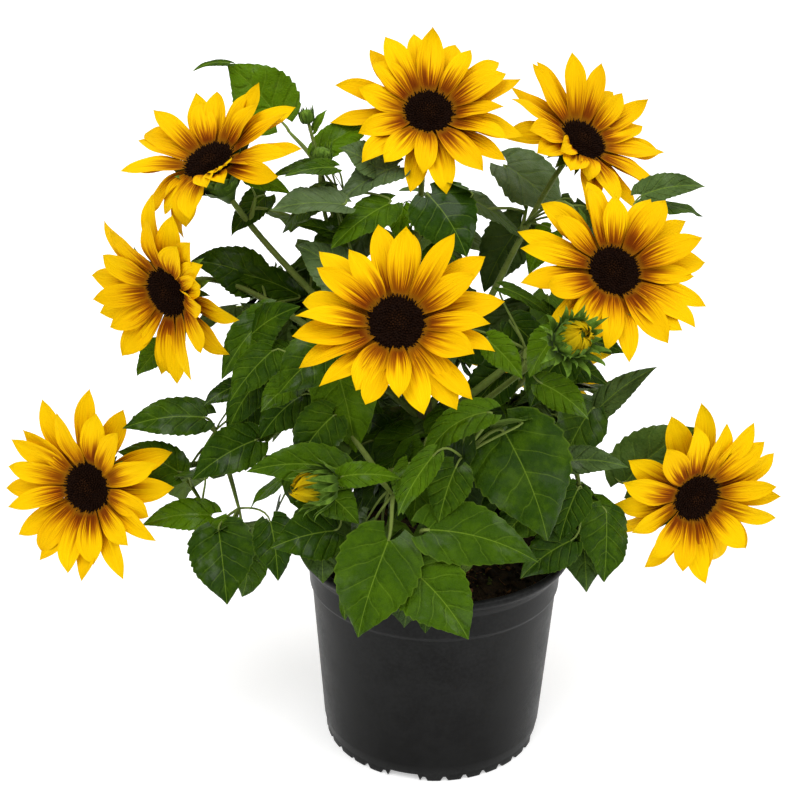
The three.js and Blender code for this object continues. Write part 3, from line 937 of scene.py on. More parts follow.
@dataclass(frozen=True)
class SoilFinish:
    """Moist dark potting soil with bark, moss and fibres."""

    dark: Colour = (0.0100, 0.0070, 0.0034)
    brown: Colour = (0.095, 0.055, 0.024)
    bark: Colour = (0.230, 0.105, 0.038)
    moss: Colour = (0.090, 0.105, 0.022)

    def material(self, effects: Effects) -> bpy.types.Material:
        """The material, which reads "tint" (own number, bark share, moss share)."""
        material, bench, shader = new_finish("soil_dark")
        own, bark, moss = bench.read("tint")
        spot = bench.object_place()
        clump = bench.group(effects.mottle, Vector=spot, Size=6 * MM)[0]
        fine = bench.group(effects.grain, Vector=spot, Size=1.5 * MM)[0]
        lit = bench.times(bench.times(own, 0.6, 0.2), clump)
        colour = bench.mixed(lit, self.dark, self.brown)
        colour = bench.mixed(bench.times(bark, 0.8), colour, self.bark)
        colour = bench.mixed(bench.times(moss, 0.8), colour, self.moss)
        bench.dress(
            shader,
            Base_Color=colour,
            Roughness=bench.times(clump, 0.25, 0.6),
            Normal=bench.bump(fine, 0.7 * MM, 0.8),
            Specular_IOR_Level=0.1,
        )
        return material


@dataclass(frozen=True)
class FloorFinish:
    """A plain pale studio floor."""

    white: Colour = (0.80, 0.80, 0.80)
    glow: float = 0.45

    def material(self) -> bpy.types.Material:
        """The material."""
        material, bench, shader = new_finish("floor_white")
        bench.dress(
            shader,
            Base_Color=self.white,
            Roughness=0.9,
            Specular_IOR_Level=0.1,
            Emission_Color=(1.0, 1.0, 1.0),
            Emission_Strength=self.glow,
        )
        return material


class Finishes:
    """Every material of the plant, each made once."""

    def __init__(self) -> None:
        """Builds the shared effects and the materials."""
        effects = Effects()
        self.leaf = LeafFinish().material(effects)
        self.petal = PetalFinish().material(effects)
        self.disc = DiscFinish().material(effects)
        self.stem = StemFinish().material(effects)
        old_stem = StemFinish("stem_brown", (0.070, 0.080, 0.022), (0.115, 0.125, 0.045))
        self.main_stem = old_stem.material(effects)
        self.bract = BractFinish().material(effects)
        self.pot = PotFinish().material(effects)
        self.soil = SoilFinish().material(effects)
        self.floor = FloorFinish().material()


# ---------------------------------------------------------------- pot and soil


@dataclass
class NurseryPot:
    """A tapering moulded pot: rolled lip, growing line, chamfered and castellated foot."""

    lip_radius: float = 94.6
    height: float = 147.5
    ledge_radius: float = 85.6
    ledge_height: float = 118.0
    wall_bottom_radius: float = 77.4
    chamfer_height: float = 12.0
    foot_radius: float = 76.0
    base_radius: float = 58.0
    ring_inner: float = 71.8
    recess: float = 4.0
    wall: float = 1.8
    foot_tabs: int = 34
    notch_share: float = 0.24
    notch_height: float = 3.4
    drain_gaps: int = 4
    drain_width: float = 22.0
    drain_height: float = 5.0
    first_drain: float = 255.0
    lit_and_worn_above: float = 100.0
    foot_worn_below: float = 6.0
    columns: int = 272

    def outer_profile(self) -> list[tuple[float, float]]:
        """Radius and height from the middle of the underside, round the foot, up to the lip."""
        band = self.ledge_radius + 1.0
        lip, top = self.lip_radius, self.height
        return [
            (2.0, 0.0),
            (self.base_radius, 0.0),
            (self.base_radius + 4.0, self.recess),
            (self.ring_inner - 0.8, self.recess),
            (self.ring_inner, 0.0),
            (self.foot_radius, 0.0),
            (self.foot_radius, self.drain_height),
            (self.wall_bottom_radius, self.chamfer_height),
            (self.ledge_radius - 0.6, self.ledge_height - 2.0),
            (band, self.ledge_height),
            (band + 0.8, self.ledge_height + 16.0),
            (lip - 3.5, top - 8.2),
            (lip - 0.9, top - 5.4),
            (lip, top - 3.4),
            (lip - 0.8, top - 0.9),
            (lip - 3.0, top),
            (lip - 4.6, top - 0.6),
        ]

    def inner_profile(self) -> list[tuple[float, float]]:
        """Radius and height from under the lip down the inside to the middle of the floor."""
        band = self.ledge_radius + 1.0 - self.wall
        low = self.wall_bottom_radius - self.wall
        return [
            (self.lip_radius - 6.0, self.height - 4.0),
            (band + 0.8, self.ledge_height + 17.0),
            (band, self.ledge_height),
            (low, self.chamfer_height),
            (self.base_radius, self.recess + 3.0),
            (2.0, self.recess + 3.0),
        ]

    def foot_floor(self, angle: Array) -> Array:
        """How high the foot is cut away at each angle: low notches, and wider gaps for water."""
        tab = np.mod(angle / TURN * self.foot_tabs, 1.0)
        notch = np.where(tab < self.notch_share, self.notch_height, 0.0)
        spacing = TURN / self.drain_gaps
        offset = np.mod(angle - math.radians(self.first_drain) + spacing / 2, spacing) - spacing / 2
        drain = np.abs(offset) * self.foot_radius < self.drain_width / 2
        return np.where(drain, self.drain_height, notch)

    def build(self, finishes: Finishes) -> None:
        """Turns the profile, lifts the foot's edge into its notches and dresses the pot."""
        profile = eased(self.outer_profile() + self.inner_profile(), 0.9)
        radius, height = profile[:, 0], profile[:, 1]
        points = turned(radius, height, self.columns)
        angle = np.mod(-TURN * np.arange(self.columns) / self.columns, TURN)
        floor = self.foot_floor(angle)
        outside = np.arange(len(radius)) < len(radius) // 2
        in_foot = outside & (radius > self.ring_inner - 1.0) & (height < self.drain_height + 0.1)
        raised = np.maximum(points[..., 2], floor)
        points[..., 2] = np.where(column(in_foot), raised, points[..., 2])
        before = unit(np.gradient(profile, axis=0))
        bend = np.abs(np.gradient(np.unwrap(np.arctan2(before[:, 1], before[:, 0]))))
        in_lip = height > self.lit_and_worn_above
        # Lighter edges where the profile bends on the lip and the growing line, partly worn and partly a
        # painted highlight, and a little lighter at the bottom of the foot from rubbing.
        wear_and_highlight = np.where(in_lip, np.clip(bend * 1.5, 0.0, 1.0), 0.3 * (height < self.foot_worn_below))
        place = joined(np.zeros(self.columns), column(height / self.height), column(wear_and_highlight))[None]
        mesh = PieceMesh("nursery_pot")
        mesh.add(points, place=place, closed=True)
        mesh.finish(finishes.pot, Slot.POT, "pot")


@dataclass
class PottingSoil:
    """The soil's uneven top with its crumbs, bark and fibres, on a plug that fills the pot."""

    surface: float = 135.0
    edge: float = 130.5
    radius: float = 84.2
    columns: int = 120
    rows: int = 40
    crumbs: int = 620
    fibres: int = 90
    bark_above: float = 0.86
    moss_below: float = 0.16
    seed: int = 5

    # radius and height of the rings between the pot's floor and the soil's edge
    PLUG_FOOT = ((60.0, 8.0), (74.8, 13.0), (82.8, 118.0))

    def relief(self, x: Array, y: Array) -> Array:
        """Uneven ground: five crossing waves, A sin(kx x + ky y + p), in millimetres."""
        rng = np.random.default_rng(self.seed)
        pitch = rng.uniform(0.08, 0.45, 5)
        heading = rng.uniform(0.0, TURN, 5)
        phase = rng.uniform(0.0, TURN, 5)
        waves = np.sin(
            x[..., None] * pitch * np.cos(heading) + y[..., None] * pitch * np.sin(heading) + phase
        )
        return 0.32 * waves.sum(axis=-1)

    def ground(self, x: Array, y: Array) -> Array:
        """Height of the soil: a low crown that falls to the wall, with the relief on it."""
        out = np.hypot(x, y) / self.radius
        return self.surface - (self.surface - self.edge) * out**2 + self.relief(x, y)

    def build(self, finishes: Finishes) -> None:
        """Makes the plug, scatters the crumbs and fibres over it and dresses them."""
        mesh = PieceMesh("soil_surface")
        mesh.add(self.plug(), tint=(0.5, 0.0, 0.0), closed=True, share=3.0)
        rng = np.random.default_rng(self.seed + 1)
        for kind, share in ((self.lumps, 2.0), (self.threads, 0.6)):
            points, tint = kind(rng)
            mesh.add(points, tint=tint, closed=True, share=share)
        mesh.finish(finishes.soil, Slot.SOIL, "potting_soil")

    def plug(self) -> Array:
        """The ground as a polar grid, carried down the wall to just above the pot's floor."""
        top = self.radius * np.linspace(1.0, 0.02, self.rows) ** 0.8
        low, heights = np.array(self.PLUG_FOOT).T
        radius = np.concatenate([low, top])
        points = turned(radius, np.zeros(len(radius)), self.columns)
        points[..., 2] = self.ground(points[..., 0], points[..., 1])
        points[0, : len(low), :, 2] = column(heights)
        return points

    def scattered(self, rng: Draws, count: int, margin: float) -> Array:
        """Places on the soil, shaped (count, 2), that keep a margin from its edge."""
        angle = rng.uniform(0, TURN, count)
        reach = (self.radius - margin) * np.sqrt(rng.uniform(0.03, 1, count))
        return joined(reach * np.cos(angle), reach * np.sin(angle))

    def lumps(self, rng: Draws) -> tuple[Array, Array]:
        """Crumbs and bark chips: flattened balls of four rings, each turned its own way.

        Args:
            rng: The source of their places and sizes.

        Returns:
            Points shaped (crumbs, 4, 6, 3) in millimetres and tints shaped (crumbs, 3).
        """
        count = self.crumbs
        x, y = self.scattered(rng, count, 2.0).T
        size = rng.uniform(0.5, 1.9, count) * (1 + 1.1 * (rng.random(count) > 0.88))
        lift = np.radians(np.array([-70.0, -22.0, 25.0, 68.0]))
        around = -TURN * np.arange(6) / 6
        flat, height = column(np.cos(lift)), column(np.sin(lift))
        ball = joined(flat * np.cos(around), flat * np.sin(around), height)
        stretch = rng.uniform(0.45, 1.4, (count, 1, 1, 3))
        form = ball[None] * stretch * rng.uniform(0.8, 1.2, (count, 4, 6, 1))
        form = form * size[:, None, None, None]
        form = np.einsum("nij,nrcj->nrci", tumbled(rng, count), form)
        middle = joined(x, y, self.ground(x, y) + 0.35 * size)
        kind = rng.random(count)
        tint = joined(rng.random(count), (kind > self.bark_above) * 1.0, (kind < self.moss_below) * 1.0)
        return form + middle[:, None, None], tint

    def threads(self, rng: Draws) -> tuple[Array, Array]:
        """Thin fibres that lie on the soil, each a short bent tube.

        Args:
            rng: The source of their places.

        Returns:
            Points shaped (fibres, 5, 4, 3) in millimetres and tints shaped (fibres, 3).
        """
        count = self.fibres
        corners = np.zeros((count, 4, 3))
        corners[:, 0, :2] = self.scattered(rng, count, 12.0)
        heading = rng.uniform(0, 360, count)
        step = rng.uniform(2.0, 4.5, (count, 1))
        for k in (1, 2, 3):
            turn = heading + rng.uniform(-45, 45, count)
            corners[:, k, :2] = corners[:, k - 1, :2] + step * direction(turn)[:, :2]
        ground = self.ground(corners[..., 0], corners[..., 1])
        corners[..., 2] = ground + rng.uniform(0.2, 1.6, (count, 4))
        path = bezier(corners, np.linspace(0, 1, 5))
        tint = joined(rng.random(count), (rng.random(count) > 0.4) * 1.0, 0.0)
        return tubes(path, np.full((count, 5), 0.28), 4), tint


def tumbled(rng: Draws, count: int) -> Array:
    """Random turns as matrices, from random unit quaternions.

    Args:
        rng: The source of the turns.
        count: How many.

    Returns:
        Matrices shaped (count, 3, 3).
    """
    w, x, y, z = unit(rng.normal(size=(count, 4))).T
    rows = [
        [1 - 2 * (y * y + z * z), 2 * (x * y - w * z), 2 * (x * z + w * y)],
        [2 * (x * y + w * z), 1 - 2 * (x * x + z * z), 2 * (y * z - w * x)],
        [2 * (x * z - w * y), 2 * (y * z + w * x), 1 - 2 * (x * x + y * y)],
    ]
    return np.moveaxis(np.array(rows), -1, 0)


# ---------------------------------------------------------------- stems


@dataclass
class Limb:
    """A stem that tapers along a cubic curve, ribbed and hairy."""

    name: str
    corners: Array
    root_radius: float
    tip_radius: float
    flare: float = 0.0
    flare_height: float = 14.0
    browning: float = 0.4
    hairs_per_mm: float = 2.2
    steps: int = 36
    sides: int = 15
    seed: int = 1

    RIB_HEIGHT = 0.045
    JOINT_EVERY = 38.0
    JOINT_FIRST = 9.0
    JOINT_SWELL = 0.05
    HAIR_LENGTHS = (0.7, 1.7)
    HAIR_RADII = np.array([[0.13, 0.03]])
    HAIR_TINT = (0.5, 0.0, 0.9)
    PLATE_REACH = 9.0

    def path(self, steps: int) -> Array:
        """Points along the middle, shaped (steps, 3), in millimetres."""
        return bezier(self.corners[None], np.linspace(0.0, 1.0, steps))[0]

    def radii(self, path: Array) -> Array:
        """Radius along the path: an even taper, a flare at the root and slight joints."""
        gone = np.concatenate([[0.0], np.cumsum(np.linalg.norm(np.diff(path, axis=0), axis=1))])
        share = gone / gone[-1]
        flare = np.clip(1.0 - gone / self.flare_height, 0.0, 1.0) ** 2
        past = np.mod(gone + self.JOINT_FIRST, self.JOINT_EVERY) - 0.5 * self.JOINT_EVERY
        joints = self.JOINT_SWELL * np.exp(-(past**2) / 12.0)
        taper = self.root_radius + share * (self.tip_radius - self.root_radius)
        return taper * (1.0 + joints) + flare * self.flare

    def hairs(self, path: Array, radius: Array) -> Array:
        """Short stiff hairs that stand out all round, as thin cones.

        Formula: each leaves the skin square to the path at an angle of its own and leans on.

        Args:
            path: Points along the middle.
            radius: The stem's radius at each.

        Returns:
            Points shaped (hairs, 2, 3, 3), in millimetres.
        """
        rng = np.random.default_rng(self.seed)
        length = np.linalg.norm(np.diff(path, axis=0), axis=1).sum()
        count = max(12, int(self.hairs_per_mm * length))
        spot = rng.uniform(0.02, 0.98, count) * (len(path) - 1)
        low = spot.astype(int)
        part = (spot - low)[:, None]
        centre = path[low] * (1 - part) + path[low + 1] * part
        tangent = unit(path[low + 1] - path[low])
        side = unit(np.cross(tangent, unit(rng.normal(size=(count, 3)))))
        root = centre + side * (radius[low] * 0.96)[:, None]
        reach = rng.uniform(*self.HAIR_LENGTHS, (count, 1))
        tip = root + reach * unit(side + 0.35 * tangent + 0.15 * rng.normal(size=(count, 3)))
        return tubes(np.stack([root, tip], axis=1), self.HAIR_RADII, 3)

    def plates(self) -> list["Plate"]:
        """Small patches along its outer part, so that leaves lie behind the stem."""
        forward = unit(PlacedLeaf.LOOKS_FORWARD)
        return [Plate(point, forward, self.PLATE_REACH, most=30.0) for point in self.path(14)[6:]]

    def build(self, material: bpy.types.Material, node: str) -> None:
        """Makes the stem with its hairs, and dresses it."""
        path = self.path(self.steps)
        radius = self.radii(path)
        rng = np.random.default_rng(self.seed + 50)
        points = tubes(path[None], radius[None], self.sides, ribs=self.RIB_HEIGHT)
        around = np.abs(np.linspace(-1.0, 1.0, self.sides))
        place = joined(around, column(np.linspace(0.0, 1.0, self.steps)), 0.0)[None]
        mesh = PieceMesh(self.name)
        tint = (rng.random(), self.browning, 0.0)
        mesh.add(points, place=place, tint=tint, closed=True, share=4.0)
        mesh.add(self.hairs(path, radius), tint=self.HAIR_TINT, closed=True)
        mesh.finish(material, Slot.STEM, node)


@dataclass
class MainStem:
    """The upright stem from the soil to its topmost fork."""

    foot: float = 135.3
    tip: tuple[float, float, float] = (-12.0, 6.0, 262.0)
    base_radius: float = 7.0
    tip_radius: float = 5.0
    flare: float = 4.0

    SOIL = 135.0

    def limb(self) -> Limb:
        """The main stem as a limb."""
        foot = np.array([0.0, 0.0, self.foot])
        tip = np.array(self.tip)
        corners = np.stack([foot, foot + [0, 0, 44.7], [-6.0, 2.0, self.tip[2] - 40.0], tip])
        return Limb("trunk", corners, self.base_radius, self.tip_radius, self.flare, browning=0.8, seed=3)

    def at(self, height: float) -> Array:
        """Where the stem's middle stands at about a height: the share of its curve is the same."""
        share = np.clip((height - self.SOIL) / (self.tip[2] - self.SOIL), 0.0, 1.0)
        return bezier(self.limb().corners[None], np.array([share]))[0, 0]


# ---------------------------------------------------------------- flower heads


@dataclass
class Plate:
    """A round patch that leaves lie behind: the petals of a head, or a leaf placed singly.

    "rise" is how far its surface stands up for each millimetre out from its middle, and "most"
    the furthest that it pushes a leaf back.
    """

    place: Array
    facing: Array
    reach: float
    rise: float = 0.0
    most: float = 20.0

    CLEARANCE = 3.0
    SLACK = 4.0

    def push(self, points: Array) -> Array:
        """How far each leaf moves to lie behind the patch instead of through it.

        Only a leaf whose middle is less than half of "most" in front moves.

        Args:
            points: Leaves shaped (leaves, rows, columns, 3), in millimetres.

        Returns:
            Moves shaped (leaves, 3).
        """
        own = (points.reshape(len(points), -1, 3) - self.place) @ turn_from_z(self.facing)
        out = np.hypot(own[..., 0], own[..., 1])
        height = own[..., 2] + self.CLEARANCE - self.rise * out
        ahead = np.where(out < self.reach, height, -1.0).max(axis=1)
        near = (own[..., 2].mean(axis=1) < 0.5 * self.most) & (ahead < self.most + self.SLACK)
        return -np.where(near, np.clip(ahead, 0.0, self.most), 0.0)[:, None] * self.facing


@dataclass
class Bloom:
    """Where a flower head or bud stands: heading and reach from the axis, height and facing."""

    name: str
    heading: float
    reach: float
    height: float
    faces: float
    elevation: float
    fork: float
    seed: int = 1

    LEAVE_ANGLE = 42.0
    LEAVE_SHARE = 0.42
    ARRIVE_SHARE = 0.26

    @property
    def place(self) -> Array:
        """The middle of the head, in millimetres."""
        return self.reach * direction(self.heading) + np.array([0.0, 0.0, self.height])

    @property
    def facing(self) -> Array:
        """The way the head looks."""
        return direction(self.faces, self.elevation)

    @property
    def back_depth(self) -> float:
        """How far behind its middle the stem ends, in millimetres."""
        raise NotImplementedError

    @property
    def stem_radii(self) -> tuple[float, float]:
        """The side stem's radius at its root and under the head."""
        return 2.9, 1.8

    def stem(self, trunk: MainStem) -> Limb:
        """The side stem that carries it, which leaves the main stem outwards and upwards."""
        start = trunk.at(self.fork)
        end = self.place - self.back_depth * self.facing
        span = np.linalg.norm(end - start)
        leave = start + self.LEAVE_SHARE * span * direction(self.heading, self.LEAVE_ANGLE)
        arrive = end - self.ARRIVE_SHARE * span * self.facing
        corners = np.stack([start, leave, arrive, end])
        return Limb(f"limb_{self.name}", corners, *self.stem_radii, seed=self.seed)

    def put(self, points: Array) -> Array:
        """Turns points that look along +Z to the facing and puts them in place."""
        return points @ turn_from_z(self.facing).T + self.place

    def meets(self, points: Array) -> Array:
        """Which leaves, shaped (leaves, points, 3), reach into its room."""
        own = (points - self.place) @ turn_from_z(self.facing)
        return self.room(np.hypot(own[..., 0], own[..., 1]), own[..., 2]).any(axis=1)

    def room(self, out: Array, ahead: Array) -> Array:
        """Which points no leaf may take, from how far out and ahead of its middle they are."""
        raise NotImplementedError


@dataclass
class Blades:
    """Petals or bracts: a batch of pointed sheets that leave a ring and bend as they go.

    Each array has one number per sheet. Angles are in degrees and lengths in millimetres.
    """

    azimuth: Array
    root_radius: Array
    root_height: Array
    length: Array
    half_width: Array
    lift: Array
    curve: Array
    tip_curl: Array
    twist: Array
    sway: Array
    gutter: Array
    foot_width: float = 0.40
    widest: float = 0.50
    blunt: float = 2.5
    pleats: float = 0.07
    ruffle: float = 0.10

    PLEAT_COUNT = 2.6
    RUFFLE_COUNTS = (1.6, 1.4)

    def outline(self, share: Array) -> Array:
        """Half width along a sheet as a share of its greatest: a narrow foot and a small nib.

        Formula: foot + (1 - foot) sin(90 s / w) up to the widest place w, then
        (1 - u^b)(1 - 0.3 u^8) with u the share of the way from w to the tip and b "blunt".
        """
        rise = np.clip(share / self.widest, 0.0, 1.0)
        fall = np.clip((share - self.widest) / (1.0 - self.widest), 0.0, 1.0)
        grown = self.foot_width + (1.0 - self.foot_width) * np.sin(0.25 * TURN * rise)
        return np.maximum(grown * (1.0 - fall**self.blunt) * (1.0 - 0.3 * fall**8), 0.02)

    def grid(self, rows: int, columns: int, rng: Draws) -> tuple[Array, Array]:
        """Works the sheets out.

        Formula: the middle line runs at elevation lift + curve s + tip_curl smooth(s) and azimuth
        + sway s; across it, a point stands t half widths out, raised by gutter t^2 and pleats.
        Rows lie closer together towards the tip: s = 1 - (1 - r)^1.5 for even r.

        Args:
            rows: Steps along a sheet.
            columns: Steps across it.
            rng: The source of its ruffles.

        Returns:
            Points and places, both shaped (sheets, rows, columns, 3).
        """
        share = 1.0 - np.linspace(1.0, 0.0, rows) ** 1.5
        curl = column(self.tip_curl) * smoothstep(0.6, 1.0, share)
        rise = column(self.lift) + column(self.curve) * share + curl
        turn = column(self.azimuth) + column(self.sway) * share
        start = column(self.root_radius) * direction(self.azimuth)
        start[:, 2] = self.root_height
        step = (column(self.length) * np.diff(share))[..., None]
        tangent, middle, side, front = swept(start, turn, rise, step)
        side, front = rolled(tangent, side, front, column(self.twist) * share)
        across = np.linspace(-1.0, 1.0, columns)
        width = (column(self.half_width) * self.outline(share))[..., None]
        body = np.sin(0.5 * TURN * np.clip(share, 0.0, 1.0)) ** 0.5
        phase = rng.uniform(0.0, TURN, (len(self.azimuth), 2))
        raised = (
            self.gutter[:, None, None] * across**2
            + self.pleats * np.cos(self.PLEAT_COUNT * 0.5 * TURN * across) * body[:, None]
            + self.ruffle * edge_waves(share, across, phase, self.RUFFLE_COUNTS)
        )
        points = sheet_points(middle, (width * across, side), (width * raised, front))
        return points, joined(across[None, None], share[None, :, None], np.abs(width * across))


@dataclass
class FlowerHead(Bloom):
    """A flower head: two whorls of petals round a disc of florets, on a cup of bracts.

    "lean" lifts the petals near the azimuth "leans_to" and lays the opposite ones back; the
    azimuth is in the head's own plane before it is turned to its facing. "folded" shortens the
    opposite ones and folds them up, as a share of the most that they can be; "drooping" lets
    those near the azimuth "droops_to" hang. "cup_depth" makes the green cup deeper.
    """

    petals: int = 24
    petal_length: float = 48.0
    petal_half_width: float = 8.4
    cup: float = 13.0
    lean: float = 6.0
    leans_to: float = 0.0
    folded: float = 0.0
    drooping: float = 0.0
    droops_to: float = 216.0
    browning: float = 1.0
    disc_radius: float = 17.0
    disc_crown: float = 4.0
    florets: int = 330
    bracts: int = 24
    cup_depth: float = 1.0

    PETAL_GRID = (15, 7)
    SPAN = 60.0
    RISE = 0.12
    CLEAR_AHEAD = 45.0

    # radius and height of rings, from the back or the outside forwards
    CUP = (
        (3.0, -16.2), (4.2, -15.0), (7.5, -12.2), (12.5, -9.2),
        (15.8, -5.0), (16.8, -1.2), (15.0, 0.2), (1.0, 0.4),
    )
    CUP_DEEPENS = 5
    DOME = ((15.5, -2.5), (17.0, -0.6), (16.6, 0.9), (13.0, 1.9), (8.0, 2.4), (0.6, 1.3))

    @property
    def back_depth(self) -> float:
        """The stem ends behind the neck."""
        return 16.3

    def plate(self) -> Plate:
        """The patch that its petals cover."""
        return Plate(self.place, self.facing, self.SPAN, rise=self.RISE)

    def room(self, out: Array, ahead: Array) -> Array:
        """The room in front of the petals, and round the cup behind them."""
        before = (out < self.SPAN) & (ahead > self.RISE * out - 3.0) & (ahead < self.CLEAR_AHEAD)
        return before | (out < self.disc_radius) & (np.abs(ahead + 8.0) < 9.0)

    def petal_blades(self, rng: Draws) -> Blades:
        """Two whorls: the front one shorter and more lifted, the back one longer and flatter."""
        count = self.petals
        number = np.arange(count)
        back = number % 2
        azimuth = 360.0 * number / count + rng.uniform(-5.5, 5.5, count)
        towards = np.cos(np.radians(azimuth - self.leans_to))
        lean = self.lean * towards
        droops_to = np.cos(np.radians(azimuth - self.droops_to))
        droop = self.drooping * smoothstep(0.70, 0.95, droops_to)
        fold = self.folded * smoothstep(0.55, 1.0, -towards) * (1.0 - droop)
        spread = rng.uniform(0.0, 1.0, count)
        length = self.petal_length * np.where(back, 0.93 + 0.15 * spread, 0.74 + 0.30 * spread)
        lift = self.cup + 8.0 - 9.0 * back + 1.6 * lean + 48.0 * fold - 22.0 * droop
        return Blades(
            azimuth=azimuth,
            root_radius=self.disc_radius - 1.8 + 0.6 * back,
            root_height=0.6 - 1.6 * back,
            length=(length - 0.3 * np.maximum(lean, 0.0)) * (1.0 - 0.35 * fold - 0.14 * droop),
            half_width=self.petal_half_width * rng.uniform(0.84, 1.16, count),
            lift=lift + rng.normal(0.0, 4.5, count),
            curve=-14.0 + 0.8 * lean - 20.0 * fold - 42.0 * droop + rng.normal(0.0, 10.0, count),
            tip_curl=rng.normal(-4.0, 18.0, count),
            twist=rng.normal(0.0, 18.0, count),
            sway=rng.normal(0.0, 6.0, count),
            gutter=rng.uniform(0.05, 0.32, count),
        )

    def petal_mesh(self, finishes: Finishes) -> None:
        """Makes the petals."""
        rng = np.random.default_rng(self.seed)
        points, place = self.petal_blades(rng).grid(*self.PETAL_GRID, rng)
        tint = joined(rng.random(self.petals), rng.uniform(0.0, 0.6, self.petals), self.browning)
        mesh = PieceMesh(f"petals_{self.name}")
        mesh.add(self.put(points), place=place, tint=tint)
        mesh.finish(finishes.petal, Slot.PETAL, f"flower_{self.name}")

    def disc_mesh(self, finishes: Finishes) -> None:
        """Makes the disc: a dome, and florets on it that turn by the golden angle.

        Formula: floret n stands at radius R sqrt(n / count) and angle n times 137.5 degrees; those
        near the rim are taller and lean outwards.
        """
        rng = np.random.default_rng(self.seed + 1)
        number = np.arange(self.florets) + 0.5
        share = np.sqrt(number / self.florets)
        angle = number * GOLDEN_ANGLE
        reach = (self.disc_radius - 0.6) * share
        dome = self.disc_crown * (1.0 - 0.8 * share**2) - 1.6 * np.exp(-((share / 0.35) ** 2))
        flat = joined(np.cos(angle), np.sin(angle), 0.0)
        root = column(reach) * flat
        root[:, 2] = dome - 1.4
        lean = unit(UP + (0.15 + 0.75 * share**3)[:, None] * flat)
        lean = unit(lean + 0.10 * rng.normal(size=lean.shape))
        height = 1.8 + 1.5 * share**2 + rng.uniform(-0.4, 0.6, self.florets)
        steps = np.array([0.0, 0.55, 1.0])
        path = root[:, None] + (height[:, None] * steps)[..., None] * lean[:, None]
        radius = 0.75 * np.array([[0.9, 1.0, 0.28]]) * rng.uniform(0.85, 1.15, (self.florets, 1))
        light = 0.10 + 0.35 * smoothstep(0.45, 0.1, share) + 0.3 * smoothstep(0.9, 1.0, share)
        light = np.clip(light * rng.uniform(0.3, 1.4, self.florets), 0.0, 1.0)
        tint = joined(rng.random(self.florets), light, 0.0)
        florets = tubes(path, radius, 5)
        place = joined(0.0, column(steps), 0.0)[None]
        shell = turned(*np.array(self.DOME).T, 32)
        mesh = PieceMesh(f"disc_{self.name}")
        mesh.add(self.put(shell), tint=(0.2, 0.1, 0.0), closed=True)
        mesh.add(self.put(florets), place=place, tint=tint, closed=True, share=5.0)
        mesh.finish(finishes.disc, Slot.BUD)

    def calyx_mesh(self, finishes: Finishes) -> None:
        """Makes the green cup behind the petals, and its pointed bracts in two rows."""
        rng = np.random.default_rng(self.seed + 2)
        radius, height = np.array(self.CUP).T
        height[: self.CUP_DEEPENS] *= self.cup_depth
        mesh = PieceMesh(f"calyx_{self.name}")
        mesh.add(self.put(turned(radius, height, 28)), tint=(0.3, 0.5, 0.0), closed=True)
        count = self.bracts
        row = np.arange(count) % 2
        blades = Blades(
            azimuth=360.0 * np.arange(count) / count + rng.uniform(-4, 4, count),
            root_radius=12.8 + 2.4 * row,
            root_height=(-9.6 + 3.6 * row) * self.cup_depth,
            length=rng.uniform(17.0, 25.0, count),
            half_width=rng.uniform(3.4, 4.6, count) * self.cup_depth**0.5,
            lift=26.0 - 6.0 * row + 30.0 * (self.cup_depth - 1.0) + rng.normal(0.0, 8.0, count),
            curve=-24.0 + rng.normal(0.0, 12.0, count),
            tip_curl=rng.normal(-16.0, 14.0, count),
            twist=rng.normal(0.0, 10.0, count),
            sway=rng.normal(0.0, 6.0, count),
            gutter=rng.uniform(0.1, 0.3, count),
            foot_width=0.8,
            widest=0.25,
            blunt=1.4,
        )
        points, place = blades.grid(10, 5, rng)
        tint = joined(rng.random(count), rng.random(count), 0.0)
        mesh.add(self.put(points), place=place, tint=tint, share=2.0)
        mesh.finish(finishes.bract, Slot.BUD)

    def build(self, finishes: Finishes) -> None:
        """Makes the whole head."""
        self.petal_mesh(finishes)
        self.disc_mesh(finishes)
        self.calyx_mesh(finishes)


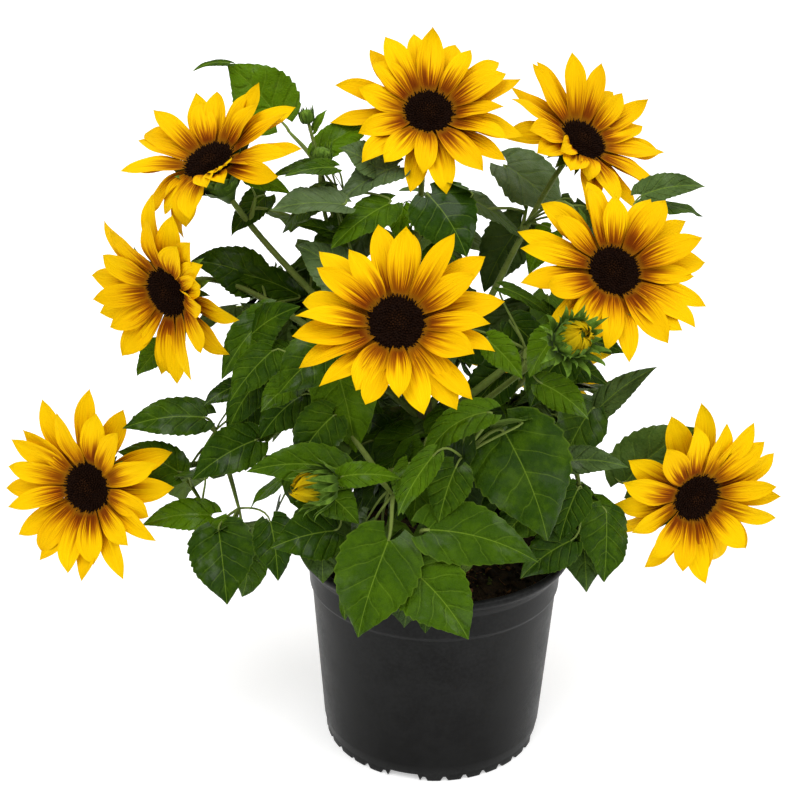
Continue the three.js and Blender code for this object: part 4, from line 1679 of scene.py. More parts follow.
@dataclass
class Bud(Bloom):
    """A bud: bracts in rows wrapped round furled petals; "opening" goes from 0 to 1."""

    radius: float = 11.0
    length: float = 26.0
    opening: float = 0.5

    # bracts in each row, and their length beside the bud's own
    BRACT_ROWS = ((13, 0.78), (12, 0.76), (10, 0.7))
    PETALS = 26
    OPENS_FROM = 0.3

    # radius and height of rings, as shares of the bud's own
    CUP = ((0.25, -0.5), (0.55, -0.45), (0.85, -0.28), (0.9, -0.02), (0.72, 0.2), (0.1, 0.3))

    @property
    def back_depth(self) -> float:
        """The stem ends behind the bud."""
        return self.length / 2 + 0.3

    @property
    def stem_radii(self) -> tuple[float, float]:
        """A bud's stem is thinner than a flower's."""
        return 2.2, 0.8 + 0.06 * self.radius

    def plate(self) -> Plate:
        """The patch that it covers."""
        return Plate(self.place, self.facing, self.radius + 3.0)

    def room(self, out: Array, ahead: Array) -> Array:
        """A short cylinder round the bud."""
        return (out < self.radius + 3.0) & (np.abs(ahead) < 0.8 * self.length)

    def wrapped(self, rng: Draws, count: int, row: int, scale: float) -> Blades:
        """One row of bracts that leave the bud's foot and close, or spread, round it.

        Args:
            rng: The source of their small differences.
            count: Bracts in the row.
            row: Its number from the outside.
            scale: Length beside the bud's own.

        Returns:
            The blades of the row.
        """
        ones = np.ones(count)
        spread = 26.0 * self.opening * (1.0 - 0.45 * row)
        return Blades(
            azimuth=360.0 * (np.arange(count) + 0.5 * row) / count + rng.uniform(-9, 9, count),
            root_radius=self.radius * (0.72 - 0.04 * row) * ones,
            root_height=-self.length * (0.42 - 0.08 * row) * ones,
            length=self.length * scale * rng.uniform(0.7, 1.25, count),
            half_width=self.radius * rng.uniform(0.17, 0.26, count),
            lift=62.0 - spread + rng.normal(0.0, 5.0, count),
            curve=60.0 - 1.7 * spread + rng.normal(0.0, 10.0, count),
            tip_curl=-75.0 * self.opening + rng.normal(0.0, 18.0, count),
            twist=rng.normal(0.0, 12.0, count),
            sway=rng.normal(0.0, 6.0, count),
            gutter=-rng.uniform(0.1, 0.35, count),
            foot_width=0.85,
            widest=0.3,
            blunt=1.3,
        )

    def build(self, finishes: Finishes) -> None:
        """Makes the bud's cup, its bracts and, if it opens, its furled petals."""
        rng = np.random.default_rng(self.seed)
        radius, height = np.array(self.CUP).T * column([self.radius, self.length])
        mesh = PieceMesh(f"bracts_{self.name}")
        mesh.add(self.put(turned(radius, height, 18)), tint=(0.4, 0.6, 0.0), closed=True)
        for row, (count, scale) in enumerate(self.BRACT_ROWS):
            points, place = self.wrapped(rng, count, row, scale).grid(12, 5, rng)
            tint = joined(rng.random(count), rng.random(count), 0.0)
            mesh.add(self.put(points), place=place, tint=tint)
        mesh.finish(finishes.bract, Slot.BUD, f"bud_{self.name}")
        if self.opening > self.OPENS_FROM:
            self.petal_mesh(finishes, rng)

    def petal_mesh(self, finishes: Finishes, rng: Draws) -> None:
        """Makes the furled petals: they rise between the bracts and close over the middle.

        Formula: a petal of length l that starts r out leans in by asin(r / l) on the way, so that
        its tip meets the bud's axis; the upright start and the bend make that up between them.
        """
        count = self.PETALS
        row = np.arange(count) % 2
        root = self.radius * (0.74 - 0.16 * row)
        length = self.length * rng.uniform(0.60, 0.72, count) + 2.0 * row
        bend = 78.0 + rng.normal(0.0, 6.0, count)
        blades = Blades(
            azimuth=360.0 * np.arange(count) / count + rng.uniform(-6, 6, count),
            root_radius=root,
            root_height=-self.length * (0.10 - 0.04 * row),
            length=length,
            half_width=self.radius * rng.uniform(0.17, 0.24, count),
            lift=90.0 + np.degrees(np.arcsin(root / length)) - 0.55 * bend,
            curve=bend,
            tip_curl=rng.normal(0.0, 12.0, count),
            twist=rng.normal(0.0, 20.0, count),
            sway=24.0 + rng.normal(0.0, 8.0, count),
            gutter=-rng.uniform(0.2, 0.5, count),
            foot_width=0.8,
            widest=0.35,
            blunt=1.6,
        )
        points, place = blades.grid(11, 5, rng)
        tint = joined(rng.random(count), rng.uniform(0.0, 0.4, count), 0.0)
        mesh = PieceMesh(f"furled_petals_{self.name}")
        mesh.add(self.put(points), place=place, tint=tint)
        mesh.finish(finishes.petal, Slot.PETAL)


# ---------------------------------------------------------------- leaves


@dataclass
class LeafBatch:
    """Leaves of one grid size. Each array has one row or number per leaf; lengths in mm.

    "down" is how far the line from a leaf's foot to its tip points below level, in degrees.
    """

    base: Array
    heading: Array
    down: Array
    length: Array
    ratio: Array
    arch: Array
    roll: Array
    fold: Array
    curl: Array
    bend: Array
    twist: Array
    looks: Array
    tint: Array

    MOST_ROLL = 65.0
    TWIST_FREE = 0.3
    WAVE_COUNTS = (1.25, 1.5)
    OUTLINE_PEAK = 0.452

    def outline(self, share: Array) -> Array:
        """Half width along a leaf as a share of its greatest: a round foot, a drawn-out tip.

        Formula: s^0.38 (1 - s)^0.95 (1 - 0.3 s^4) over its own greatest value.
        """
        shape = (share + 0.004) ** 0.38 * (1.0 - 0.995 * share) ** 0.95 * (1.0 - 0.3 * share**4)
        return shape / self.OUTLINE_PEAK

    def frames(self, share: Array) -> tuple[Array, Array, Array]:
        """Middle lines with their sides and upper normals, each shaped (leaves, rows, 3).

        Formula: the midrib leaves at down - arch/2, bends to down + arch/2 and sways sideways by
        bend. Its sides are rolled about it until the upper face looks the way "looks" points,
        as far as it can, then by roll, and by twist more towards the tip.
        """
        fall = column(self.down) + column(self.arch) * (share - 0.5)
        turn = column(self.heading) + column(self.bend) * (share - 0.5)
        step = (column(self.length) / (len(share) - 1))[..., None]
        tangent, middle, side, upper = swept(self.base, turn, -fall, step)
        half_way = len(share) // 2
        sideways, upwards = (np.sum(self.looks * way[:, half_way], axis=1) for way in (side, upper))
        wanted = np.degrees(np.arctan2(-sideways, upwards))
        wanted = np.clip(wanted, -self.MOST_ROLL, self.MOST_ROLL)
        roll = column(wanted + self.roll) + column(self.twist) * (share - self.TWIST_FREE)
        return middle, *rolled(tangent, side, upper, roll)

    def grid(self, rows: int, columns: int, rng: Draws) -> tuple[Array, Array]:
        """Works the blades out, toothed at the edge and quilted between the veins.

        Formula: across the midrib a point stands x = t half widths out along a half blade folded
        up by "fold"; its edge turns down by curl x^2, waves, and is raised between side veins.

        Args:
            rows: Steps along a leaf, two to a tooth on a coarse leaf and four on a fine one.
            columns: Steps across it.
            rng: The source of the waves.

        Returns:
            Points and places, both shaped (leaves, rows, columns, 3).
        """
        share = np.linspace(0.0, 1.0, rows)
        across = np.linspace(-1.0, 1.0, columns)
        middle, side, upper = self.frames(share)
        tangent = np.cross(side, upper)
        half = 0.5 * (self.length * self.ratio)[:, None] * self.outline(share)
        edge = smoothstep(0.7, 1.0, np.abs(across))
        teeth = (rows - 1) / (2 if rows < 20 else 4)
        tooth = np.mod(share * teeth + 1e-6, 1.0) * np.clip(1.0 - share, 0, 1) ** 0.3
        out = across * (1.0 + 0.10 * edge * (tooth[:, None] - 0.5))
        x = half[..., None] * out
        fold = np.radians(self.fold)[:, None, None]
        scale = 0.5 * (self.length * self.ratio)[:, None, None]
        phase = rng.uniform(0.0, TURN, (len(self.base), 2))
        waves = edge_waves(share, across, phase, self.WAVE_COUNTS)
        ripple = phase[:, :1, None] + TURN * (1.9 * share[:, None] - 0.8 * np.abs(across))
        quilt = np.sin(ripple) * np.sin(ripple * 0.63 + TURN * across) * np.abs(across) ** 0.5
        body = np.sin(0.5 * TURN * share)[:, None] ** 0.5
        raised = (
            np.abs(x) * np.sin(fold)
            - self.curl[:, None, None] * x**2 / scale
            + 0.10 * scale * waves * body
            + 0.05 * scale * quilt * body
        )
        lobes = 0.15 * self.length[:, None, None] * across**2 * (1.0 - share[:, None]) ** 6
        points = sheet_points(middle, (x * np.cos(fold), side), (raised, upper), (-lobes, tangent))
        return points, joined(across[None, None], share[None, :, None], np.abs(x))

    def laid_behind(self, plates: list[Plate], points: Array) -> Array:
        """Moves the leaves behind each patch in turn, and gives back their moved points."""
        for plate in plates:
            push = plate.push(points)
            self.base = self.base + push
            points = points + push[:, None, None]
        return points

    def chosen(self, keep: Array) -> "LeafBatch":
        """The same batch with only the leaves that a mask keeps."""
        return LeafBatch(**{name: getattr(self, name)[keep] for name in self.__dataclass_fields__})


@dataclass
class PlacedLeaf:
    """A leaf placed singly: its foot in mm, heading, fall below level, length and width share.

    "up" turns its upper face from the front to the sky, as a share. One that "grows_on" goes on
    from the tip of the leaf before it and has no stalk.
    """

    foot: tuple[float, float, float]
    heading: float
    down: float
    length: float
    ratio: float
    # Shade is partly its own tone, partly painted shade for a leaf in shadow and painted light for one in
    # the open; the next number paints light above 0 and a sheen below 0.
    shade: float = 0.7
    youth_and_painted_light: float = 0.0
    arch: float = 28.0
    up: float = 0.0
    grows_on: bool = False

    LOOKS_FORWARD = np.array([0.0, -0.8, 0.6])
    LOOKS_UP = np.array([0.0, 0.1, 1.2])

    def looks(self) -> Array:
        """Where its upper face turns to: outwards, upwards and forwards."""
        outwards = 0.4 * (1.0 - self.up) * unit(self.foot * LEVEL)
        return outwards + (1.0 - self.up) * self.LOOKS_FORWARD + self.up * self.LOOKS_UP

    def middle(self) -> Array:
        """Its middle, in millimetres."""
        return self.foot + 0.45 * self.length * direction(self.heading, -self.down)

    def plate(self) -> Plate:
        """The patch that it covers."""
        run = direction(self.heading, -self.down)
        facing = self.looks() - along(self.looks(), run) * run
        return Plate(self.middle(), unit(facing), 0.36 * self.length, most=26.0)


@dataclass(frozen=True)
class Opening:
    """A straight shaft through the crown, from the front, that growing leaves leave open.

    "in_front" ends it at its place, so that only what would hide that place gives way.
    """

    place: tuple[float, float, float]
    reach: float = 6.0
    in_front: bool = False

    def meets(self, points: Array) -> Array:
        """Which leaves reach into it.

        Args:
            points: Leaves shaped (leaves, points, 3), in millimetres.

        Returns:
            A mask over the leaves.
        """
        axis = unit(np.array(self.place) - np.array(EYE) / MM)
        gap = points - np.array(self.place)
        ahead = gap @ axis
        inside = np.linalg.norm(gap - ahead[..., None] * axis, axis=-1) < self.reach
        if self.in_front:
            inside &= ahead < -2.0
        return inside.any(axis=1)


@dataclass(frozen=True)
class Surroundings:
    """What leaves grow from, lie behind and keep clear of.

    "network" holds points along every limb, in millimetres. The first of the "plates" are those
    of the flower heads and buds, which even the leaves placed singly lie behind.
    """

    network: Array
    heads: list[Bloom]
    plates: list[Plate]
    openings: list[Opening]

    POT_RADIUS = 96.5
    POT_TOP = 149.0

    def clear(self, points: Array) -> Array:
        """Which leaves stay out of the pot, the heads' room and the openings.

        Args:
            points: Leaves shaped (leaves, rows, columns, 3), in millimetres.

        Returns:
            A mask over the leaves.
        """
        flat = points.reshape(len(points), -1, 3)
        out = np.hypot(flat[..., 0], flat[..., 1])
        keep = ~((out < self.POT_RADIUS) & (flat[..., 2] < self.POT_TOP)).any(axis=1)
        for obstacle in [*self.heads, *self.openings]:
            keep &= ~obstacle.meets(flat)
        return keep


@dataclass
class LeafMass:
    """One mass of foliage: a bough from the nearest limb, and leaves on stalks all over it."""

    name: str
    length: float = 50.0
    cover: float = 1.5
    down: float = 35.0
    shade: float = 0.55
    youth_and_painted_light: float = 0.0
    top: float = 1.0
    seed: int = 1

    LEAF_AREA_SHARE = 0.58
    SHOWN_SHARE = 0.72
    FEWEST = 5
    LOWEST = 0.7
    BOUGH_SHARE = 0.75
    BOUGH_STEPS = 14
    BARE_STEPS = 4
    FIRST_SEED = 1000
    DEPTHS = (0.55, 0.85)
    LENGTHS = (0.75, 1.18)
    GRID = (15, 5)
    FINE_GRID = (45, 15)

    @property
    def node(self) -> str:
        """The solid's name."""
        return f"leaves_{self.name}"

    def middle_and_half(self) -> tuple[Array, Array]:
        """Middle and half size of the solid, in millimetres."""
        low, high = (np.array(corner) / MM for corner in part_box(self.node))
        return 0.5 * (low + high), 0.5 * (high - low)

    def leaves(self, rng: Draws) -> LeafBatch:
        """Spreads leaves over the mass by the golden angle, as tiles on a roof.

        Formula: leaf n looks out along a direction d whose height falls evenly from "top" to
        -LOWEST and whose heading turns by 137.5 degrees; its middle stands at 0.55 to 0.85 of the
        mass's reach along d, and the lower d points, the more the leaf hangs.

        Args:
            rng: The source of the small differences.

        Returns:
            The batch of leaves.
        """
        middle, half = self.middle_and_half()
        area = 4.0 * math.pi * np.mean([half[0] * half[1], half[1] * half[2], half[0] * half[2]])
        leaf_area = self.LEAF_AREA_SHARE * self.length**2
        count = max(self.FEWEST, round(self.cover * area / leaf_area * self.SHOWN_SHARE))
        number = np.arange(count) + 0.5
        height = self.top - (self.top + self.LOWEST) * number / count
        turn = np.degrees(number * GOLDEN_ANGLE + rng.uniform(0, TURN))
        flat = np.sqrt(1.0 - height**2)[:, None]
        look = flat * direction(turn) + height[:, None] * UP
        depth = rng.uniform(*self.DEPTHS, (count, 1))
        centre = middle + depth * half * look
        outwards = unit(middle * LEVEL + 1e-6)
        away = flat * direction(turn) + 0.45 * outwards
        away = unit(away + 0.2 * rng.normal(size=(count, 3)))
        heading = np.degrees(np.arctan2(away[:, 1], away[:, 0]))
        down = self.down + 28.0 * (0.35 - height) + rng.normal(0.0, 11.0, count)
        length = self.length * rng.uniform(*self.LENGTHS, count)
        foot = centre - 0.5 * length[:, None] * direction(heading, -down)
        # Painted light and shade: a leaf's green gets lighter the higher it stands on the mass, round the
        # mass's own painted shade, with some tone of its own.
        shade = np.clip(self.shade + 0.2 * height + rng.normal(0, 0.2, count), 0, 1)
        # The second tint number is slightly below 0 on average, so some leaves get the painted sheen;
        # above 0 its yellow-green is partly painted light.
        youth_and_painted_light = np.clip(self.youth_and_painted_light + rng.normal(-0.08, 0.16, count), -0.5, 1.0)
        looks = 0.5 * look + 0.45 * outwards + np.array([0.0, 0.0, 0.6])
        return LeafBatch(
            base=foot,
            heading=heading,
            down=down,
            length=length,
            ratio=rng.uniform(0.68, 0.9, count),
            arch=rng.uniform(5.0, 50.0, count),
            roll=rng.normal(0.0, 15.0, count),
            fold=rng.uniform(2.0, 20.0, count),
            curl=rng.uniform(0.0, 0.35, count),
            bend=rng.normal(0.0, 16.0, count),
            twist=rng.normal(0.0, 14.0, count),
            looks=looks,
            tint=joined(shade, youth_and_painted_light, length),
        )

    def placed(self, rows: list[PlacedLeaf], rng: Draws) -> LeafBatch:
        """A batch of the leaves that are placed singly, each with small differences of its own."""
        names = ("heading", "down", "length", "ratio", "arch")
        given = {name: np.array([getattr(row, name) for row in rows], dtype=float) for name in names}
        count = len(rows)
        return LeafBatch(
            base=np.array([row.foot for row in rows], dtype=float),
            roll=rng.normal(0.0, 6.0, count),
            fold=rng.uniform(6.0, 16.0, count),
            curl=rng.uniform(0.05, 0.25, count),
            bend=rng.normal(0.0, 10.0, count),
            twist=rng.normal(0.0, 10.0, count),
            looks=np.array([row.looks() for row in rows]),
            tint=np.array([(row.shade, row.youth_and_painted_light, row.length) for row in rows], dtype=float),
            **given,
        )

    def stalks(self, batch: LeafBatch, bough: Array, rng: Draws) -> Array:
        """Leaf stalks: each leaves the bough's nearest part and runs into its leaf's midrib.

        Args:
            batch: The leaves.
            bough: Points along the bough, in millimetres.
            rng: The source of their small differences.

        Returns:
            Points shaped (leaves, steps, sides, 3), in millimetres.
        """
        spot = np.argmin(np.linalg.norm(batch.base[:, None] - bough[None], axis=-1), axis=1)
        start = bough[spot]
        middle, _, _ = batch.frames(np.linspace(0.0, 1.0, 9))
        arrive = unit(middle[:, 1] - middle[:, 0])
        end = batch.base + 0.8 * arrive
        span = np.linalg.norm(end - start, axis=1)[:, None]
        leave = unit(end - start + 0.35 * span * UP + 0.1 * rng.normal(size=start.shape))
        bends = [start + 0.35 * span * leave, end - 0.3 * span * arrive]
        path = bezier(np.stack([start, *bends, end], axis=1), np.linspace(0.0, 1.0, 8))
        taper = np.linspace(1.25, 0.8, 8)[None]
        return tubes(path, taper * column(batch.length / 55.0), 6)

    def bough(self, network: Array, singles: list[PlacedLeaf]) -> Array:
        """The bough, from the nearest limb to the leaves placed singly, or to the mass's middle.

        Args:
            network: Points along every limb, in millimetres.
            singles: Its leaves that are placed singly.

        Returns:
            Points shaped (1, steps, 3), in millimetres.
        """
        middle, half = self.middle_and_half()
        above = np.clip(network[:, 2] - middle[2], 0, None)
        far = np.linalg.norm(network - (middle - 0.25 * half * UP), axis=1)
        root = network[np.argmin(far + 0.6 * above)]
        feet = [row.foot for row in singles if not row.grows_on]
        goal = root + self.BOUGH_SHARE * (np.mean(feet, axis=0) - root) if feet else middle
        run = goal - root
        arch = 0.1 * np.linalg.norm(run) * UP
        corners = np.stack([root, root + 0.4 * run + arch, goal - 0.2 * run, goal])
        return bezier(corners[None], np.linspace(0.0, 1.0, self.BOUGH_STEPS))

    def build(self, finishes: Finishes, around: Surroundings, singles: list[PlacedLeaf]) -> None:
        """Grows the leaves, the bough and the stalks.

        Args:
            finishes: The materials.
            around: What the leaves grow from and give way to.
            singles: Its leaves that are placed singly.
        """
        rng = np.random.default_rng(self.FIRST_SEED + self.seed)
        grown = self.leaves(rng)
        placed = self.placed(singles, rng) if singles else None
        mesh = PieceMesh(f"foliage_{self.name}")
        points, place = grown.grid(*self.GRID, rng)
        points = grown.laid_behind(around.plates, points)
        keep = around.clear(points)
        LOG.info("%s: %d leaves, %d clear", self.name, len(keep), keep.sum())
        share = self.GRID[1] * keep.sum()
        mesh.add(points[keep], place=place[keep], tint=grown.tint[keep], share=share)
        stalked = [grown.chosen(keep)]
        if placed:
            points, place = placed.grid(*self.FINE_GRID, rng)
            points = placed.laid_behind(around.plates[: len(around.heads)], points)
            share = self.FINE_GRID[1] * len(singles)
            mesh.add(points, place=place, tint=placed.tint, share=share)
            stalked.append(placed.chosen(np.array([not row.grows_on for row in singles])))
        mesh.finish(finishes.leaf, Slot.LEAF, self.node)
        self.twigs(finishes, self.bough(around.network, singles), stalked, rng)

    def twigs(self, finishes: Finishes, bough: Array, stalked: list[LeafBatch], rng: Draws) -> None:
        """Makes the bough and the stalks of every batch of leaves.

        Args:
            finishes: The materials.
            bough: Points along the bough, shaped (1, steps, 3), in millimetres.
            stalked: The leaves that have stalks.
            rng: The source of the stalks' small differences.
        """
        mesh = PieceMesh(f"twigs_{self.name}")
        taper = np.linspace(2.1, 1.0, self.BOUGH_STEPS)[None]
        mesh.add(tubes(bough, taper, 8), tint=(0.5, 0.3, 0.1), closed=True)
        for batch in stalked:
            stalks = self.stalks(batch, bough[0, self.BARE_STEPS :], rng)
            tint = joined(rng.random(len(stalks)), 0.25, 0.25)
            mesh.add(stalks, tint=tint, closed=True, share=3.0)
        mesh.finish(finishes.stem, Slot.LEAF)


# ---------------------------------------------------------------- studio


@dataclass
class Studio:
    """The camera, the soft light and the pale floor."""

    lens: float = 63.0
    sensor: float = 36.0
    place: tuple[float, float, float] = EYE
    pitch: float = 21.83
    roll: float = 0.6
    floor_half: float = 9.0
    floor_height: float = -0.0002
    world_light: float = 0.4

    # name, heading and elevation, strength, and how wide its disc looks, in degrees
    LIGHTS = (
        ("key_light", 235.0, 58.0, 1.8, 45.0),
        ("side_light", 335.0, 40.0, 1.2, 45.0),
        ("back_light", 80.0, 60.0, 0.8, 60.0),
    )

    def camera(self) -> None:
        """Sets the camera: it looks along +Y, tipped down by pitch and turned by roll."""
        pitch, roll = math.radians(self.pitch), math.radians(self.roll)
        forward = np.array([0.0, math.cos(pitch), -math.sin(pitch)])
        up = np.array([0.0, math.sin(pitch), math.cos(pitch)])
        right = np.array([1.0, 0.0, 0.0])
        side = math.cos(roll) * right + math.sin(roll) * up
        head = -math.sin(roll) * right + math.cos(roll) * up
        data = bpy.data.cameras.new("camera")
        data.lens = self.lens
        data.sensor_width = self.sensor
        data.clip_end = 30.0
        camera = bpy.data.objects.new("camera", data)
        rows = np.column_stack([side, head, -forward, np.array(self.place)])
        camera.matrix_world = Matrix([*rows.tolist(), [0.0, 0.0, 0.0, 1.0]])
        bpy.context.scene.collection.objects.link(camera)
        bpy.context.scene.camera = camera

    def sun(self, name: str, heading: float, elevation: float, strength: float, softness: float) -> None:
        """A broad soft light from far off, at a heading and elevation in degrees."""
        data = bpy.data.lights.new(name, "SUN")
        data.energy = strength
        data.angle = math.radians(softness)
        light = bpy.data.objects.new(name, data)
        back = direction(heading, elevation)
        side = unit(np.cross(UP, back))
        rows = np.column_stack([side, np.cross(back, side), back])
        light.matrix_world = Matrix(rows.tolist()).to_4x4()
        bpy.context.scene.collection.objects.link(light)

    def build(self, finishes: Finishes) -> None:
        """Makes the camera, the lights, the surroundings and the floor."""
        self.camera()
        for light in self.LIGHTS:
            self.sun(*light)
        world = bpy.data.worlds.new("studio")
        world.use_nodes = True
        background = world.node_tree.nodes["Background"].inputs
        background["Color"].default_value = (1.0, 1.0, 1.0, 1.0)
        background["Strength"].default_value = self.world_light
        bpy.context.scene.world = world
        bpy.context.scene.view_settings.view_transform = "Standard"
        half = self.floor_half
        corners = np.array([[-half, -half], [half, -half], [half, half], [-half, half]])
        corners = np.column_stack([corners, np.full(4, self.floor_height)])
        mesh = bpy.data.meshes.new("studio_floor")
        mesh.from_pydata(corners.tolist(), [], [(0, 1, 2, 3)])
        mesh.materials.append(finishes.floor)
        floor = bpy.data.objects.new("studio_floor", mesh)
        bpy.context.scene.collection.objects.link(floor)


# ---------------------------------------------------------------- the plant


# Separate scripts worked out, from measured places, where the eight heads in front stand and look,
# and where the four buds stand.
FLOWERS = [
    FlowerHead("middle", 254, 99, 335, 272, 42, 240, seed=11, lean=1),
    FlowerHead("top", 96, 75, 426, 275, 47, 255, seed=12, lean=3, leans_to=84),
    FlowerHead(
        "upper_left", 165, 156, 399, 234, 58, 245, seed=13,
        lean=8, leans_to=85, folded=1.0, drooping=0.8, cup_depth=2.2,
    ),
    FlowerHead("upper_right", 47, 147, 402, 309, 48, 235, seed=14, lean=6, leans_to=65, folded=0.6),
    FlowerHead("left", 174, 180, 316, 236, -7, 230, seed=15, lean=8, leans_to=190, folded=0.6),
    FlowerHead("right", 359, 111, 340, 284, 41, 225, seed=16, lean=3, leans_to=68),
    FlowerHead("low_left", 184, 234, 190, 247, 15, 170, seed=17, lean=3, leans_to=178),
    FlowerHead("low_right", 357, 176, 184, 290, -2, 165, seed=18, lean=5, leans_to=328),
    FlowerHead("rear_left", 106, 172, 246, 112, 35, 190, seed=19),
    FlowerHead("rear_right", 62, 165, 222, 58, 25, 180, seed=20),
]

BUDS = [
    Bud("front_left", 236, 133, 237, 205, 5, 185, seed=31, radius=11.0, length=26.0, opening=0.6),
    Bud("front_right", 323, 101, 315, 292, 30, 215, seed=32, radius=13.0, length=25.0, opening=1.1),
    Bud("top_lower", 150, 90, 403, 290, 70, 252, seed=33, radius=7.0, length=15.0, opening=0.25),
    Bud("top_upper", 148, 104, 427, 200, 75, 250, seed=34, radius=5.0, length=12.0, opening=0.1),
]

# A mass's shade darkens its leaves' green: painted shade, lowest in the core and lower on the skirts and
# at the front.
MASSES = [
    LeafMass("core_low", cover=2.1, shade=0.15),
    LeafMass("core_high", cover=1.7, shade=0.2),
    LeafMass("crown_left", length=44, down=30, cover=1),
    LeafMass("crown_right", length=48, down=40, cover=0.9, top=0.45),
    LeafMass("tip_upper_left", length=48, down=0, cover=0.9),
    LeafMass("shoulder_right", length=50, down=30, cover=0.9, top=0.5),
    LeafMass("tip_right", length=38, down=5, cover=0.9),
    LeafMass("middle_right", length=50, down=40),
    LeafMass("side_right", length=50, down=25, cover=1.3),
    LeafMass("skirt_right", length=50, down=50, cover=1.4, shade=0.4),
    LeafMass("front_right", length=54, down=50, cover=0.9, shade=0.4),
    LeafMass("skirt_front_left", length=52, down=60, cover=0.6, shade=0.4),
    LeafMass("skirt_front_right", length=52, down=55, cover=0.6, shade=0.4),
    LeafMass("front_left", length=50, down=50, cover=0.8, shade=0.4),
    LeafMass("skirt_left", length=50, down=55, cover=1.2, shade=0.4),
    LeafMass("inner_left", length=46, down=35, cover=0.7),
    LeafMass("shelf_left", length=48, down=20, cover=0.8),
    LeafMass("shelf_low_left", length=48, down=30, cover=0.7),
    LeafMass("side_left", length=50, down=30, cover=1.3),
    LeafMass("shoulder_left", length=44, down=20, cover=0.9),
    LeafMass("middle_left", length=50, down=45, cover=1.2),
    LeafMass("rear_left", length=52, down=40, cover=1.8),
    LeafMass("rear_middle", length=54, down=40, top=0.7),
    LeafMass("rear_right", length=52, down=40, cover=1.8),
    LeafMass("rear_skirt_left", length=52, down=55, cover=1.9),
    LeafMass("rear_skirt_right", length=52, down=55, cover=1.9),
]

SHOWN_LIMBS = ("limb_upper_right", "limb_upper_left", "limb_left", "limb_front_right")

# Of so many steps along a limb, those that boughs leave, and those that stay in sight. A leaf
# placed singly stays in sight round its middle, as far out as this share of its length.
BOUGHS_LEAVE = (30, slice(3, 24))
IN_SIGHT = (20, slice(7, None))
SIGHT_SHARE = 0.2

# Gaps in the crown. Separate scripts worked out their places, which are rounded.
OPENINGS = [
    Opening((-114, 45, 353), 8),
    Opening((-137, 45, 345)),
    Opening((-119, 45, 334)),
    Opening((-47, 40, 375), 5),
    Opening((-32, 40, 365), 5),
    Opening((35, 90, 345), 7),
    Opening((67, 80, 308), 7),
    Opening((77, 110, 340), 4),
    Opening((110, 0, 272)),
    Opening((117, 0, 245)),
    Opening((121, 0, 216)),
    Opening((114, -10, 193), 5),
    Opening((-186, 0, 220), 5),
    Opening((-168, 0, 209)),
    Opening((-146, 0, 180), 7),
    Opening((-106, 0, 215), 5),
    Opening((0, 60, 389), 7),
    Opening((39, -100, 155), 8),
    Opening((41, -105, 143), 8),
    Opening((70, -70, 149), 8),
]

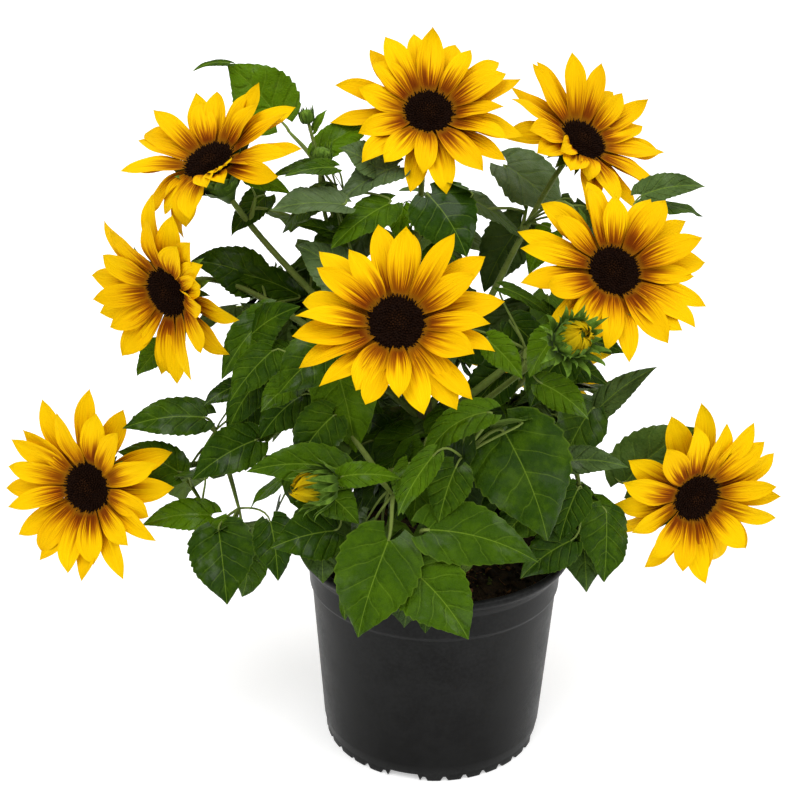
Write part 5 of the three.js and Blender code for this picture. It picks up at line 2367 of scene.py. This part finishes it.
# Leaves placed singly, mass by mass: foot, heading, fall, length and width share, then as far as
# they differ from the usual: shade, youth_and_painted_light, arch, how far it looks up, and
# whether it grows on. Shade is partly a leaf's own tone and partly painted shade, low for leaves
# that lie in shadow; the number after it paints light above 0 and a sheen below 0.
# Separate scripts worked out foot, heading, fall and length from measured places and rounded them.
LEAF_ROWS = {
    "tip_upper_left": [
        ((-112, 118, 413), 170, -45, 51, 0.95, 0.9, 0.3, 20),
        ((-145, 121, 450), 200, 10, 28, 0.26, 0.5, 0, 50, 0, True),
    ],
    "crown_left": [
        ((-81, 60, 403), 15, -25, 45, 0.65, 0.9, 0.3),
        ((-41, 48, 393), 195, -30, 31, 0.95, 0.5, -0.7, 28, 0.2),
        ((-28, 48, 395), 205, 25, 45, 0.8, 0.45, -0.8, 28, 0.2),
        ((-86, 56, 425), 10, -55, 17, 0.5, 0.9, 0.35),
        ((-68, 30, 354), 195, -15, 28, 0.45, 0.5),
        ((-77, 58, 393), 195, 10, 37, 0.36, 0.55),
        ((-69, 30, 398), 205, 5, 35, 0.42, 0.6),
        ((-63, 20, 376), 200, 0, 49, 0.72, 0.5, -0.9, 28, 0.3),
        ((-33, 25, 376), 210, 30, 50, 0.6, 0.6),
        ((-57, 0, 329), 150, -25, 47, 0.75, 0.4, -0.7, 28, 0.2),
    ],
    "shoulder_left": [
        ((-125, 40, 388), 340, 15, 31, 0.42, 0.85, 0.2),
        ((-117, 62, 371), 205, 45, 36, 0.7, 0.35),
    ],
    "crown_right": [
        ((-7, 28, 380), 315, 45, 48, 0.95, 0.15),
        ((-25, 35, 371), 255, 65, 26, 0.7, 1.0, 0.4),
        ((62, 122, 338), 200, 60, 57, 0.68, 0.5, -0.4),
        ((25, 92, 362), 15, 40, 50, 0.5, 0.5, -0.7, 28, 0.3),
    ],
    "shoulder_right": [
        ((51, 150, 374), 340, 40, 69, 0.95, 0.6, -0.8),
        ((82, 112, 335), 230, 45, 37, 0.65, 0.9, 0.3),
    ],
    "tip_right": [
        ((136, 62, 374), 355, -10, 43, 0.55, 0.6, -0.5),
    ],
    "middle_right": [
        ((10, 30, 288), 345, 35, 44, 0.85, 0.15),
        ((45, 15, 264), 200, 50, 41, 0.8, 0.2),
        ((50, 30, 294), 340, 45, 41, 0.8, 0.2),
        ((84, 5, 282), 205, 55, 44, 0.8, 0.2),
        ((41, 5, 326), 335, 25, 41, 0.38, 0.5, 0, 28, 0.6),
        ((29, -50, 309), 330, 40, 32, 0.65, 0.9, 0.15),
        ((72, -40, 310), 215, 50, 32, 0.8, 0.8, 0.15),
        ((63, -50, 281), 335, 30, 37, 0.65, 0.8),
        ((94, 25, 285), 350, 15, 33, 0.7, 0.3),
        ((79, 12, 273), 0, 25, 39, 0.75, 0.3),
    ],
    "side_left": [
        ((-123, 52, 315), 195, -20, 48, 0.75, 0.4),
        ((-95, 56, 303), 190, -20, 57, 0.4, 0.35),
        ((-125, 0, 291), 340, -35, 47, 0.6, 0.3),
        ((-117, -5, 306), 205, 50, 55, 0.5, 0.35, 0.1),
        ((-188, 45, 269), 200, 45, 28, 0.8, 0.45, 0.3),
    ],
    "middle_left": [
        ((-107, -20, 290), 225, 35, 44, 0.7, 0.4),
        ((-89, -45, 280), 215, 30, 32, 0.75, 0.6),
        ((-65, -50, 305), 215, 30, 48, 0.8, 0.4),
        ((-66, -65, 264), 215, 45, 38, 0.85, 0.3),
        ((-113, -20, 273), 200, 55, 42, 0.8, 0.2),
        ((-87, -35, 266), 195, 45, 40, 0.8, 0.2),
        ((-97, -10, 286), 195, 25, 30, 0.7, 0.25),
    ],
    "shelf_left": [
        ((-155, -10, 239), 190, 5, 54, 0.55, 0.35),
        ((-173, -12, 200), 170, -15, 44, 0.65, 0.35, 0.1),
        ((-130, 0, 259), 200, 25, 29, 0.6, 0.2),
        ((-117, 5, 246), 190, 45, 35, 0.8, 0.15),
    ],
    "inner_left": [
        ((-118, -35, 234), 205, 25, 48, 0.7, 0.3),
    ],
    "shelf_low_left": [
        ((-151, -20, 172), 190, 5, 47, 0.5, 0.9, 0.3),
    ],
    "skirt_left": [
        ((-141, -58, 181), 285, 55, 49, 0.95, 0.2),
        ((-106, -72, 194), 285, 55, 38, 0.8, 0.15),
    ],
    "front_left": [
        ((-64, -95, 200), 195, 10, 41, 0.85, 0.2),
        ((-61, -92, 240), 185, 0, 57, 0.48, 0.35, 0.15),
        ((-59, -104, 241), 345, -5, 37, 0.45, 0.4, 0.3),
        ((-73, -100, 230), 335, 35, 31, 0.8, 0.35, 0.1),
    ],
    "skirt_front_left": [
        ((-31, -112, 203), 225, 65, 63, 0.85, 0.28, 0.1),
        ((-19, -100, 248), 255, 65, 31, 0.6, 0.32, 0.25),
    ],
    "skirt_front_right": [
        ((-17, -116, 185), 335, 45, 55, 0.85, 0.28, 0.15),
        ((-7, -112, 210), 5, 20, 73, 0.55, 0.23, 0.1),
    ],
    "front_right": [
        ((28, -88, 277), 190, 40, 54, 0.4, 0.48, 0.2, 75),
        ((-5, -112, 259), 210, 55, 42, 0.42, 0.43, 0.15),
        ((39, -75, 259), 320, 60, 73, 0.88, 0.28),
        ((67, -70, 212), 205, 40, 44, 0.75, 0.25),
        ((9, -96, 244), 235, 60, 35, 0.8, 0.28),
    ],
    "side_right": [
        ((105, 10, 235), 15, -35, 55, 0.36, 0.5, -0.4),
        ((79, -40, 223), 350, 0, 44, 0.45, 0.4, -0.5),
        ((127, -12, 196), 15, -35, 61, 0.72, 0.7, -0.3),
    ],
    "skirt_right": [
        ((110, -45, 190), 265, 65, 46, 0.95, 0.3),
        ((88, -62, 214), 230, 60, 35, 0.75, 0.15),
        ((85, -70, 182), 195, 35, 41, 0.7, 0.15),
    ],
}

PLACED_LEAVES = {mass: [PlacedLeaf(*row) for row in rows] for mass, rows in LEAF_ROWS.items()}


def surroundings(limbs: list[Limb]) -> Surroundings:
    """What the leaves mind: limbs, heads, the leaves placed singly and the openings.

    Args:
        limbs: The main stem and every side stem.

    Returns:
        All of it. The leaves placed singly and the limbs in front stay in sight.
    """
    heads = [*FLOWERS, *BUDS]
    shown = [limb for limb in limbs if limb.name in SHOWN_LIMBS]
    singles = [row for rows in PLACED_LEAVES.values() for row in rows]
    plates = [head.plate() for head in heads]
    plates += [plate for limb in shown for plate in limb.plates()]
    plates += [row.plate() for row in singles]
    steps, part = IN_SIGHT
    spots = [(tuple(point), Opening.reach) for limb in shown for point in limb.path(steps)[part]]
    spots += [(tuple(row.middle()), SIGHT_SHARE * row.length) for row in singles]
    in_sight = [Opening(spot, reach, in_front=True) for spot, reach in spots]
    steps, part = BOUGHS_LEAVE
    network = np.concatenate([limb.path(steps)[part] for limb in limbs])
    return Surroundings(network, heads, plates, OPENINGS + in_sight)


def main() -> None:
    """Builds the studio and every part of the plant in order."""
    logging.basicConfig(level=logging.INFO, format="%(message)s", stream=sys.stdout)
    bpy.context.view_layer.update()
    finishes = Finishes()
    Studio().build(finishes)
    NurseryPot().build(finishes)
    PottingSoil().build(finishes)
    trunk = MainStem()
    limbs = [trunk.limb()]
    limbs[0].build(finishes.main_stem, "main_stem")
    for head in [*FLOWERS, *BUDS]:
        limbs.append(head.stem(trunk))
        limbs[-1].build(finishes.stem, f"stem_{head.name}")
        head.build(finishes)
    around = surroundings(limbs)
    for number, mass in enumerate(MASSES):
        mass.seed = number
        mass.build(finishes, around, PLACED_LEAVES.get(mass.name, []))


if __name__ == "__main__":
    main()
